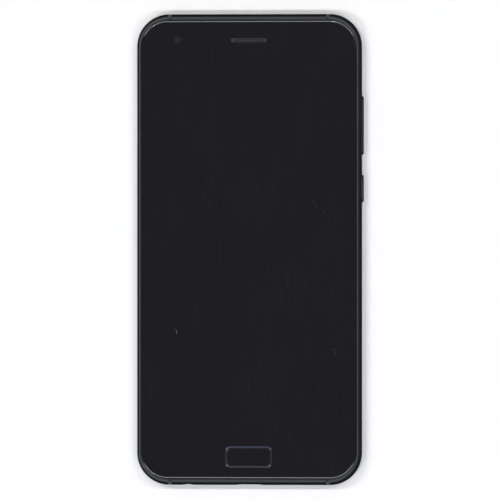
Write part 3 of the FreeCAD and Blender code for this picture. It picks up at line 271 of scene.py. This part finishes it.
def arithmetic(tree, operation, *terms):
    node = tree.nodes.new("ShaderNodeMath")
    node.operation = operation
    for socket, term in zip(node.inputs, terms):
        plug(tree, socket, term)
    return node.outputs[0]


def vectorStep(tree, operation, *terms):
    node = tree.nodes.new("ShaderNodeVectorMath")
    node.operation = operation
    for socket, term in zip(node.inputs, terms):
        plug(tree, socket, term)
    return node.outputs["Value" if operation in ("LENGTH", "DOT_PRODUCT", "DISTANCE") else "Vector"]


def colourRamp(tree, factor, stops):
    node = addNode(tree, "ValToRGB", {"Fac": factor})
    elements = node.color_ramp.elements
    while len(elements) < len(stops):
        elements.new(1)
    for element, (at, colour) in zip(elements, stops):
        element.position = at
        element.color = (*colour, 1)
    return node.outputs["Color"]


def rampBetween(tree, source, low, high):
    node = addNode(tree, "MapRange", {"Value": source, "From Min": low, "From Max": high},
                   interpolation_type="SMOOTHSTEP")
    return node.outputs["Result"]


def blendColours(tree, factor, first, second):
    node = tree.nodes.new("ShaderNodeMix")
    node.data_type = "RGBA"
    plug(tree, node.inputs[0], factor)  # the colour sockets of a Mix node are 6, 7 and 2
    plug(tree, node.inputs[6], first)
    plug(tree, node.inputs[7], second)
    return node.outputs[2]


def noise(tree, place, grain, detail=2.0, stretch=(1, 1, 1)):
    scaled = vectorStep(tree, "MULTIPLY", place, stretch)
    node = addNode(tree, "TexNoise", {"Vector": scaled, "Scale": 1 / grain, "Detail": detail})
    return node.outputs["Fac"]


wavePeriod = 0.3  # metres, of a wave texture at scale 1


def waves(tree, place, pitch, axis, distortion=0.0, detail=2.0):
    sockets = {"Vector": place, "Scale": wavePeriod / pitch, "Distortion": distortion, "Detail": detail}
    return addNode(tree, "TexWave", sockets, wave_type="BANDS", bands_direction=axis).outputs["Fac"]


def mixNoises(tree, first, second, share):
    return arithmetic(tree, "MULTIPLY_ADD", first, share, arithmetic(tree, "MULTIPLY", second, 1 - share))


# Two tones of one colour, over the middle of a noise's range
toneSpan = (0.3, 0.7)


def twoTones(tree, factor, colour, darker, lighter, span=toneSpan):
    stops = zip(span, (darker, lighter))
    return colourRamp(tree, factor, [(at, [part * times for part in colour]) for at, times in stops])


def addBump(tree, height, depth, strength=1.0):
    node = addNode(tree, "Bump", {"Height": height, "Distance": depth, "Strength": strength})
    return node.outputs["Normal"]


socketOf = {
    "metallic": "Metallic",
    "roughness": "Roughness",
    "specular": "Specular IOR Level",
    "ior": "IOR",
}


def startMaterial(name, **settings):
    material = bpy.data.materials.new(name)
    material.use_nodes = True
    tree = material.node_tree
    shader = tree.nodes["Principled BSDF"]
    for word, setting in settings.items():
        shader.inputs[socketOf[word]].default_value = setting
    place = tree.nodes.new("ShaderNodeTexCoord").outputs["Object"]
    return material, tree, shader, place


# Colour that varies with a fine and a broad noise, used by most of the finishes
def grainedColour(tree, place, colour, fine, broad, spread):
    small = noise(tree, place, fine)
    large = noise(tree, place, broad, detail=3.0)
    mixed = mixNoises(tree, large, small, share=0.5)
    return twoTones(tree, mixed, colour, 1 - spread, 1 + spread), small


def plainFinish(name, colour, fine=0.12 * mm, broad=6 * mm, depth=0.004 * mm, spread=0.12, **settings):
    material, tree, shader, place = startMaterial(name, **settings)
    shade, small = grainedColour(tree, place, colour, fine, broad, spread)
    tree.links.new(shade, shader.inputs["Base Color"])
    tree.links.new(addBump(tree, small, depth), shader.inputs["Normal"])
    return material


# Frame: dark blasted outside, bare cut metal where the rear was milled out
anodised = {
    "outside": (0.052, 0.056, 0.061),
    "cut": (0.19, 0.195, 0.20),
    "volumeKey": (0.032, 0.035, 0.042),
    "powerKey": (0.044, 0.048, 0.055),
    "grazing": 0.22,
    "grain": 0.09 * mm,
    "cloud": 9 * mm,
    "spread": 0.12,
    "depth": 0.004 * mm,
    "roughness": 0.38,
    "cutRoughness": 0.18,
    "cutter": {"pitch": 1.1 * mm, "wobble": 0.6, "tones": (0.9, 1.08), "span": (0.2, 0.8)},
    "wall": 1.75 * mm,
    "wallSlack": 0.02 * mm,
    "corner": 10.65 * mm,
    "belowFoam": 0.3 * mm,
    "aboveRear": 0.05 * mm,
}


def blastedMetal(name, colour, milled=False):
    material, tree, shader, place = startMaterial(name, roughness=anodised["roughness"], metallic=1.0)
    shader.inputs["Specular Tint"].default_value = (*[anodised["grazing"]] * 3, 1)
    shade, small = grainedColour(tree, place, colour, anodised["grain"], anodised["cloud"],
                                 anodised["spread"])
    if milled:
        inside = milledMask(tree, place)
        cutter = anodised["cutter"]
        lines = waves(tree, place, cutter["pitch"], "Y", cutter["wobble"], detail=1.0)
        cutShade = twoTones(tree, lines, anodised["cut"], *cutter["tones"], cutter["span"])
        shade = blendColours(tree, inside, shade, cutShade)
        smoother = anodised["cutRoughness"] - anodised["roughness"]
        rough = arithmetic(tree, "MULTIPLY_ADD", inside, smoother, anodised["roughness"])
        tree.links.new(rough, shader.inputs["Roughness"])
    tree.links.new(shade, shader.inputs["Base Color"])
    tree.links.new(addBump(tree, small, anodised["depth"]), shader.inputs["Normal"])
    return material


# 1 inside the rear cavity and 0 on the outside: how far a point lies within the rounded outline
def milledMask(tree, place):
    low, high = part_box("mid_frame")
    corner = anodised["corner"]
    middle = ((low.x + high.x) / 2, (low.y + high.y) / 2, 0)
    straight = ((high.x - low.x) / 2 - corner, (high.y - low.y) / 2 - corner, 0)
    away = vectorStep(tree, "ABSOLUTE", vectorStep(tree, "SUBTRACT", place, middle))
    flat = vectorStep(tree, "MULTIPLY", vectorStep(tree, "SUBTRACT", away, straight), (1, 1, 0))
    past = vectorStep(tree, "LENGTH", vectorStep(tree, "MAXIMUM", flat, (0, 0, 0)))
    split = addNode(tree, "SeparateXYZ", {"Vector": flat})
    short = arithmetic(tree, "MINIMUM", arithmetic(tree, "MAXIMUM", *split.outputs[:2]), 0.0)
    depth = arithmetic(tree, "SUBTRACT", corner, arithmetic(tree, "ADD", past, short))
    within = arithmetic(tree, "GREATER_THAN", depth, anodised["wall"] - anodised["wallSlack"])
    level = addNode(tree, "SeparateXYZ", {"Vector": place}).outputs["Z"]
    below = arithmetic(tree, "LESS_THAN", level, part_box("display_foam")[0].z - anodised["belowFoam"])
    above = arithmetic(tree, "GREATER_THAN", level, anodised["aboveRear"])
    return arithmetic(tree, "MULTIPLY", within, arithmetic(tree, "MULTIPLY", below, above))


# Cover glass, black behind, with the camera window, specks and scratches that the photograph shows.
# A mark is full strength over a share of its width and fades to nothing at its edge; places are in mm.
glass = {
    "colour": (0.0045, 0.0042, 0.0060),
    "tones": (0.75, 1.3),
    "streaks": {"grain": 0.35 * mm, "stretch": (1, 0.012, 1), "share": 0.6},
    "cloud": 14 * mm,
    "ior": 1.5,
    "roughness": 0.045,
    "smear": {"grain": 9 * mm, "stretch": (1, 0.4, 1), "span": (0.35, 0.75), "rougher": 0.05},
    "window": {"at": (-23.5, 69.1), "radius": 1.3, "full": 0.88, "colour": (0.0085, 0.0150, 0.0235)},
    # Start, end, width and strength
    "scratches": [
        ((20.7, 17.2), (22.4, 14.1), 0.05, 0.10),
        ((11.5, -8.6), (13.5, -11.3), 0.05, 0.08),
        ((27.0, -33.0), (29.2, -32.7), 0.06, 0.08),
        ((28.8, -32.8), (28.9, -35.0), 0.07, 0.12),
        ((-23.9, -26.6), (-23.7, -27.7), 0.13, 0.30),
        ((-32.9, 44.3), (-30.8, 44.6), 0.05, 0.05),
        ((-32.5, -44.5), (-32.2, -49.5), 0.05, 0.05),
        ((-9.7, 2.5), (-9.3, -5.0), 0.06, 0.05),
        ((-11.9, 67.0), (-12.2, 60.5), 0.05, 0.04),
        ((13.4, -60.5), (13.5, -65.0), 0.05, 0.04),
    ],
    # Middle, radius and strength
    "specks": [
        ((25.0, 12.6), 0.14, 0.16),
        ((6.9, -20.5), 0.12, 0.16),
        ((-32.1, -61.8), 0.12, 0.16),
        ((-24.2, -26.2), 0.10, 0.16),
        ((-35.2, -10.2), 0.10, 0.16),
    ],
    "scratchFull": 0.3,
    "speckFull": 0.7,
    "scratchColour": (0.42, 0.43, 0.45),
    "scratchRoughness": 0.5,
    "hairlines": {"grain": 0.22 * mm, "stretch": (1, 0.05, 1), "span": (0.62, 0.80),
                  "patch": 24 * mm, "patchSpan": (0.35, 0.65), "level": 0.018},
    # edge: its colour is a painted highlight, a pale line along the two ends of the glass
    "edge": {"half": (35.6, 75.17), "round": 8.8, "width": 0.18, "full": 0.4, "shownBeyond": (69.5, 71.5),
             "colour": (0.22, 0.22, 0.223)},
}


# 1 where the gap is small and 0 from the given width on
def fadeOut(tree, gap, width, full):
    return arithmetic(tree, "SUBTRACT", 1.0, rampBetween(tree, gap, full * width * mm, width * mm))


def nearLine(tree, place, start, end, width, full):
    first = Vector((*start, 0)) * mm
    run = Vector((*end, 0)) * mm - first
    flat = vectorStep(tree, "MULTIPLY", place, (1, 1, 0))
    away = vectorStep(tree, "SUBTRACT", flat, first)
    share = arithmetic(tree, "DIVIDE", vectorStep(tree, "DOT_PRODUCT", away, run), run.length_squared)
    clamped = arithmetic(tree, "MINIMUM", arithmetic(tree, "MAXIMUM", share, 0.0), 1.0)
    along = addNode(tree, "VectorMath", {0: run, "Scale": clamped}, operation="SCALE").outputs["Vector"]
    gap = vectorStep(tree, "LENGTH", vectorStep(tree, "SUBTRACT", away, along))
    return fadeOut(tree, gap, width, full)


def nearPoint(tree, place, at, radius, full):
    flat = vectorStep(tree, "MULTIPLY", place, (1, 1, 0))
    gap = vectorStep(tree, "DISTANCE", flat, Vector((*at, 0)) * mm)
    return fadeOut(tree, gap, radius, full)


# Painted highlight at the glass edge: a pale line along a rounded rectangle, shown at the two ends and in
# the corners, standing in for the gloss of lamps beyond the ends
def paintedEdgeHighlight(tree, place, line):
    folded = vectorStep(tree, "ABSOLUTE", vectorStep(tree, "MULTIPLY", place, (1, 1, 0)))
    corner = Vector([half - line["round"] for half in line["half"]] + [0]) * mm
    beyond = vectorStep(tree, "MAXIMUM", vectorStep(tree, "SUBTRACT", folded, corner), (0, 0, 0))
    reach = arithmetic(tree, "SUBTRACT", vectorStep(tree, "LENGTH", beyond), line["round"] * mm)
    near = fadeOut(tree, arithmetic(tree, "ABSOLUTE", reach), line["width"], line["full"])
    along = vectorStep(tree, "DOT_PRODUCT", folded, (0, 1, 0))
    shown = rampBetween(tree, along, *[at * mm for at in line["shownBeyond"]])
    return arithmetic(tree, "MULTIPLY", near, shown)


def coverGlass():
    material, tree, shader, place = startMaterial("blackGlass", roughness=glass["roughness"],
                                                  ior=glass["ior"])
    streaks = glass["streaks"]
    lines = noise(tree, place, streaks["grain"], stretch=streaks["stretch"])
    cloud = noise(tree, place, glass["cloud"], detail=3.0)
    mixed = mixNoises(tree, lines, cloud, streaks["share"])
    shade = twoTones(tree, mixed, glass["colour"], *glass["tones"])
    window = glass["window"]
    disc = nearPoint(tree, place, window["at"], window["radius"], window["full"])
    shade = blendColours(tree, disc, shade, window["colour"])
    # Painted highlight along the two ends of the glass edge
    shade = blendColours(tree, paintedEdgeHighlight(tree, place, glass["edge"]), shade, glass["edge"]["colour"])
    marks = glassMarks(tree, place)
    shade = blendColours(tree, marks, shade, glass["scratchColour"])
    tree.links.new(shade, shader.inputs["Base Color"])
    smear = glass["smear"]
    smears = noise(tree, place, smear["grain"], detail=4.0, stretch=smear["stretch"])
    low, high = smear["span"]
    rough = addNode(tree, "MapRange", {"Value": smears, "From Min": low, "From Max": high,
                                       "To Min": glass["roughness"],
                                       "To Max": glass["roughness"] + smear["rougher"]})
    rougher = arithmetic(tree, "MULTIPLY_ADD", marks, glass["scratchRoughness"], rough.outputs["Result"])
    tree.links.new(rougher, shader.inputs["Roughness"])
    return material


# Hairlines in patches, with the scratches and specks over them
def glassMarks(tree, place):
    hairlines = glass["hairlines"]
    fine = noise(tree, place, hairlines["grain"], detail=1.0, stretch=hairlines["stretch"])
    patches = noise(tree, place, hairlines["patch"], detail=1.0)
    fine = rampBetween(tree, fine, *hairlines["span"])
    patches = rampBetween(tree, patches, *hairlines["patchSpan"])
    marks = arithmetic(tree, "MULTIPLY", arithmetic(tree, "MULTIPLY", fine, patches), hairlines["level"])
    shapes = [(nearLine(tree, place, start, end, width, glass["scratchFull"]), level)
              for start, end, width, level in glass["scratches"]]
    shapes += [(nearPoint(tree, place, at, radius, glass["speckFull"]), level)
               for at, radius, level in glass["specks"]]
    for shape, level in shapes:
        marks = arithmetic(tree, "MAXIMUM", arithmetic(tree, "MULTIPLY", shape, level), marks)
    return marks


# Flat copper traces under a dark film
film = {
    "darker": (0.020, 0.013, 0.006),
    "lighter": (0.036, 0.023, 0.010),
    "blotch": 3 * mm,
    "roughness": 0.38,
    "trace": {"pitch": 0.32 * mm, "span": (0.35, 0.6), "colour": (0.11, 0.058, 0.018), "share": 0.55,
              "depth": 0.02 * mm, "strength": 0.6},
}


def flexFilm():
    material, tree, shader, place = startMaterial("flexFilm", roughness=film["roughness"])
    trace = film["trace"]
    lines = rampBetween(tree, waves(tree, place, trace["pitch"], "X"), *trace["span"])
    blotches = noise(tree, place, film["blotch"])
    shade = colourRamp(tree, blotches, list(zip(toneSpan, (film["darker"], film["lighter"]))))
    shade = blendColours(tree, arithmetic(tree, "MULTIPLY", lines, trace["share"]), shade, trace["colour"])
    tree.links.new(shade, shader.inputs["Base Color"])
    tree.links.new(addBump(tree, lines, trace["depth"], trace["strength"]), shader.inputs["Normal"])
    return material


# Plain weave, seen on the cloth over the sound holes
weave = {
    "pitch": 0.16 * mm,
    "gaps": (0.004, 0.004, 0.004),
    "colour": (0.035, 0.035, 0.036),
    "span": (0.35, 0.85),
    "depth": 0.05 * mm,
    "roughness": 0.8,
    "specular": 0.2,
}


def wovenCloth():
    material, tree, shader, place = startMaterial("wovenCloth", roughness=weave["roughness"],
                                                  specular=weave["specular"])
    yarns = [waves(tree, place, weave["pitch"], axis) for axis in ("X", "Z")]
    height = arithmetic(tree, "MAXIMUM", *yarns)
    shade = colourRamp(tree, height, list(zip(weave["span"], (weave["gaps"], weave["colour"]))))
    tree.links.new(shade, shader.inputs["Base Color"])
    tree.links.new(addBump(tree, height, weave["depth"]), shader.inputs["Normal"])
    return material


# Rolled or pressed sheet has fine lines along one axis, and turned or plated metal an even grain
rolled = {
    "lines": 0.08 * mm,
    "lineShare": 0.6,
    "cloud": 8 * mm,
    "tones": (0.85, 1.12),
    "depth": 0.003 * mm,
}
rolledFinishes = {
    "pressed_steel": ("pressedSteel", (0.52, 0.53, 0.54), {}),
    "dome_steel": ("domeSteel", (0.66, 0.66, 0.65), {"roughness": 0.25}),
    "insert_brass": ("turnedBrass", (0.70, 0.50, 0.22), {"roughness": 0.3, "stretch": (1, 1, 1)}),
}


def rolledSteel(name, colour, roughness=0.32, stretch=(1, 0.03, 1)):
    material, tree, shader, place = startMaterial(name, metallic=1.0, roughness=roughness)
    lines = noise(tree, place, rolled["lines"], detail=3.0, stretch=stretch)
    mixed = mixNoises(tree, lines, noise(tree, place, rolled["cloud"]), rolled["lineShare"])
    tree.links.new(twoTones(tree, mixed, colour, *rolled["tones"]), shader.inputs["Base Color"])
    tree.links.new(addBump(tree, lines, rolled["depth"]), shader.inputs["Normal"])
    return material


# Finishes without a pattern of their own: the colour, and what differs from plainFinish
plainFinishes = {
    "moulded_plastic": ("mouldedPlastic", (0.027, 0.032, 0.030), {"roughness": 0.55, "specular": 0.35}),
    "panel_glass": ("panelGlass", (0.03, 0.034, 0.036), {"spread": 0.05, "roughness": 0.08}),
    "optical_film": ("clearFilm", (0.62, 0.64, 0.66), {"spread": 0.04, "roughness": 0.2}),
    "polarizer": ("polarizerFilm", (0.016, 0.016, 0.020), {"spread": 0.08, "roughness": 0.15}),
    "white_film": ("whiteFilm", (0.8, 0.8, 0.8), {"spread": 0.04, "roughness": 0.45}),
    "clear_guide": ("lightGuide", (0.66, 0.7, 0.72), {"spread": 0.04, "roughness": 0.12}),
    "white_plastic": ("whiteMoulding", (0.74, 0.74, 0.72), {"spread": 0.06, "roughness": 0.5}),
    "black_tape": ("foamTape", (0.014, 0.014, 0.015),
                   {"depth": 0.03 * mm, "roughness": 0.9, "specular": 0.2}),
    "black_rubber": ("mattRubber", (0.02, 0.02, 0.021),
                     {"depth": 0.015 * mm, "roughness": 0.75, "specular": 0.3}),
    "chip": ("groundSilicon", (0.05, 0.052, 0.06), {"spread": 0.2, "roughness": 0.22}),
    "connector_plastic": ("connectorPlastic", (0.030, 0.027, 0.024), {"roughness": 0.5}),
    "led_package": ("lampPackage", (0.8, 0.72, 0.35), {"roughness": 0.4}),
    "dark_mesh": ("darkMesh", (0.034, 0.036, 0.039), {"spread": 0.2, "roughness": 0.6, "specular": 0.15}),
    "graphite": ("graphiteFilm", (0.045, 0.046, 0.05),
                 {"spread": 0.3, "depth": 0.02 * mm, "roughness": 0.42, "specular": 0.6}),
    "home_ceramic": ("blackCeramic", glass["colour"],
                     {"spread": 0.1, "depth": 0.0005 * mm, "roughness": 0.05}),
    "home_bezel": ("polishedBezel", (0.012, 0.013, 0.016),
                   {"spread": 0.1, "depth": 0.0005 * mm, "roughness": 0.28}),
}


def makeFinishes():
    finishes = {}
    for make, wanted in ((plainFinish, plainFinishes), (rolledSteel, rolledFinishes)):
        for slot, (name, colour, settings) in wanted.items():
            finishes[slot] = make(name, colour, **settings)
    finishes["anodised_frame"] = blastedMetal("blastedFrame", anodised["outside"], milled=True)
    finishes["anodised_key"] = blastedMetal("blastedKey", anodised["volumeKey"])
    finishes["cover_glass"] = coverGlass()
    finishes["flex_film"] = flexFilm()
    finishes["cloth"] = wovenCloth()
    return finishes


# Each node is shown by a merged copy with whole flat faces and smooth bends, in its own finish.
# The angles are in degrees: faces closer than flat are joined, and edges past crease stay sharp.
smoothing = {
    "join": 0.0005 * mm,
    "flat": 0.2,
    "crease": 32,
    "fineCrease": {"home_ring": 12},
    "asBuilt": ("top_moulding", "bottom_moulding"),
}


def dressNode(node, finish):
    source = frame["nodes"][node]
    mesh = bmesh.new()
    mesh.from_mesh(source.data)
    bmesh.ops.remove_doubles(mesh, verts=mesh.verts, dist=smoothing["join"])
    if node not in smoothing["asBuilt"]:
        bmesh.ops.dissolve_limit(mesh, angle_limit=math.radians(smoothing["flat"]),
                                 verts=mesh.verts, edges=mesh.edges)
    data = bpy.data.meshes.new(node)
    mesh.to_mesh(data)
    mesh.free()
    data.shade_smooth()
    crease = smoothing["fineCrease"].get(node, smoothing["crease"])
    data.set_sharp_from_angle(angle=math.radians(crease))
    data.materials.clear()
    data.materials.append(finish)
    piece = bpy.data.objects.new(node.replace("_", " ").title().replace(" ", ""), data)
    bpy.context.scene.collection.objects.link(piece)
    weights = piece.modifiers.new("FlatFaces", "WEIGHTED_NORMAL")
    weights.keep_sharp = True
    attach(piece, bodyOf[node])
    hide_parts(node)


# Geometry node helpers
def growTree(name, inputs):
    tree = bpy.data.node_groups.new(name, "GeometryNodeTree")
    tree.interface.new_socket("Geometry", in_out="OUTPUT", socket_type="NodeSocketGeometry")
    for label, kind in inputs:
        tree.interface.new_socket(label, in_out="INPUT", socket_type="NodeSocket" + kind)
    source = tree.nodes.new("NodeGroupInput")
    return tree, source


def addStep(tree, kind, sockets=None, **settings):
    node = tree.nodes.new(kind)
    for name, setting in settings.items():
        setattr(node, name, setting)
    for name, source in (sockets or {}).items():
        if isinstance(source, bpy.types.NodeSocket):
            tree.links.new(source, node.inputs[name])
        else:
            node.inputs[name].default_value = source
    return node


def closeTree(tree, geometry, finish):
    real = addStep(tree, "GeometryNodeRealizeInstances", {"Geometry": geometry})
    dressed = addStep(tree, "GeometryNodeSetMaterial", {"Geometry": real.outputs[0], "Material": finish})
    out = tree.nodes.new("NodeGroupOutput")
    tree.links.new(dressed.outputs[0], out.inputs[0])


# The result of a tree as a plain mesh piece
def bakeTree(name, tree, settings):
    seed = bpy.data.objects.new(name + "Seed", bpy.data.meshes.new(name + "Seed"))
    bpy.context.scene.collection.objects.link(seed)
    modifier = seed.modifiers.new("Grow", "NODES")
    modifier.node_group = tree
    identifiers = {item.name: item.identifier for item in tree.interface.items_tree
                   if item.in_out == "INPUT"}
    for label, setting in settings.items():
        modifier[identifiers[label]] = setting
    bpy.context.view_layer.update()
    evaluated = seed.evaluated_get(bpy.context.evaluated_depsgraph_get())
    data = bpy.data.meshes.new_from_object(evaluated)
    seed.modifiers.remove(modifier)
    bpy.data.objects.remove(seed)
    data.name = name
    piece = bpy.data.objects.new(name, data)
    bpy.context.scene.collection.objects.link(piece)
    return piece


# Screw threads: a ridge wound inside the bore of each insert
threads = {
    "pitch": 0.3 * mm,
    "ridge": 0.085 * mm,
    "bore": 0.7 * mm,
    "column": 29.4 * mm,
    "rows": (66.0, 33.5, -50.5, -69.5),
    "stepsPerTurn": 20,
    "ridgeSides": 4,
    "clearEnds": 2.5,  # ridges
}


def makeThreads(finish):
    tree, source = growTree("ThreadTree", [("Bore", "Float"), ("Ridge", "Float"), ("Turns", "Float"),
                                           ("Length", "Float"), ("Half Spacing", "Float")])
    coil = addStep(tree, "GeometryNodeCurveSpiral", {
        "Resolution": threads["stepsPerTurn"], "Rotations": source.outputs["Turns"],
        "Start Radius": source.outputs["Bore"], "End Radius": source.outputs["Bore"],
        "Height": source.outputs["Length"]})
    ridge = addStep(tree, "GeometryNodeCurvePrimitiveCircle",
                    {"Resolution": threads["ridgeSides"], "Radius": source.outputs["Ridge"]})
    wound = addStep(tree, "GeometryNodeCurveToMesh",
                    {"Curve": coil.outputs[0], "Profile Curve": ridge.outputs[0], "Fill Caps": True})
    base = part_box("thread_inserts")[0].z
    spots = addStep(tree, "GeometryNodeJoinGeometry")
    for row in threads["rows"]:
        across = addStep(tree, "ShaderNodeCombineXYZ", {"X": source.outputs["Half Spacing"],
                                                        "Y": row * mm, "Z": base + threads["ridge"]})
        mirrored = addStep(tree, "ShaderNodeVectorMath", {0: across.outputs[0], 1: (-1, 1, 1)},
                           operation="MULTIPLY")
        for spot in (across.outputs[0], mirrored.outputs[0]):
            point = addStep(tree, "GeometryNodePoints", {"Count": 1, "Position": spot})
            tree.links.new(point.outputs[0], spots.inputs[0])
    copies = addStep(tree, "GeometryNodeInstanceOnPoints",
                     {"Points": spots.outputs[0], "Instance": wound.outputs[0]})
    closeTree(tree, copies.outputs[0], finish)
    low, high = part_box("thread_inserts")
    length = high.z - low.z - threads["clearEnds"] * threads["ridge"]
    piece = bakeTree("InsertThreads", tree, {
        "Bore": threads["bore"], "Ridge": threads["ridge"], "Turns": length / threads["pitch"],
        "Length": length, "Half Spacing": threads["column"]})
    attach(piece, "frame")


# Rows of gold contacts on both long walls inside a plug
contacts = {
    "width": 0.16 * mm,
    "depth": 0.14 * mm,
    "height": 0.33 * mm,
    "pitch": 0.35 * mm,
    "margin": 0.8 * mm,
    "wall": 0.5 * mm,
    "lift": 0.01 * mm,
    "colour": (0.83, 0.62, 0.28),
    "roughness": 0.25,
}


def makeContacts(name, node, finish):
    low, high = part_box(node)
    tree, source = growTree(name + "Tree", [("Count", "Int"), ("Pitch", "Float"), ("Row Gap", "Float"),
                                            ("Size", "Vector"), ("Start", "Vector")])
    box = addStep(tree, "GeometryNodeMeshCube", {"Size": source.outputs["Size"]})
    step = addStep(tree, "ShaderNodeCombineXYZ", {"X": source.outputs["Pitch"]})
    line = addStep(tree, "GeometryNodeMeshLine", {"Count": source.outputs["Count"],
                                                  "Start Location": source.outputs["Start"],
                                                  "Offset": step.outputs[0]})
    gap = addStep(tree, "ShaderNodeCombineXYZ", {"Y": source.outputs["Row Gap"]})
    other = addStep(tree, "GeometryNodeTransform", {"Geometry": line.outputs[0],
                                                    "Translation": gap.outputs[0]})
    rows = addStep(tree, "GeometryNodeJoinGeometry")
    tree.links.new(line.outputs[0], rows.inputs[0])
    tree.links.new(other.outputs[0], rows.inputs[0])
    copies = addStep(tree, "GeometryNodeInstanceOnPoints",
                     {"Points": rows.outputs[0], "Instance": box.outputs[0]})
    closeTree(tree, copies.outputs[0], finish)
    length = high.x - low.x - 2 * contacts["margin"]
    pitch = contacts["pitch"]
    count = int(length / pitch) + 1
    wall = contacts["wall"]
    start = Vector(((low.x + high.x - (count - 1) * pitch) / 2, low.y + wall,
                    low.z + contacts["height"] / 2 + contacts["lift"]))
    piece = bakeTree(name, tree, {
        "Count": count, "Pitch": pitch, "Row Gap": high.y - low.y - 2 * wall,
        "Size": (contacts["width"], contacts["depth"], contacts["height"]), "Start": start})
    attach(piece, "frame")


makeCamera()
makeSky()
makeLamps()
makeFloor()
print("stage made")
finishes = makeFinishes()
finishOf = {node: finishes[slotOf[node]] for node in frame["nodes"]}
finishOf["power_key"] = blastedMetal("blastedPowerKey", anodised["powerKey"])
for node in frame["nodes"]:
    dressNode(node, finishOf[node])
print("nodes dressed:", len(frame["nodes"]))
makeThreads(finishes["insert_brass"])
gold = rolledSteel("goldPlate", contacts["colour"], contacts["roughness"], stretch=(1, 1, 1))
makeContacts("DisplayPlugContacts", "display_connector", gold)
makeContacts("HomePlugContacts", "home_connector", gold)
makeBars()
print("threads, contacts and bars made")

bpy.context.scene.view_settings.view_transform = "Standard"
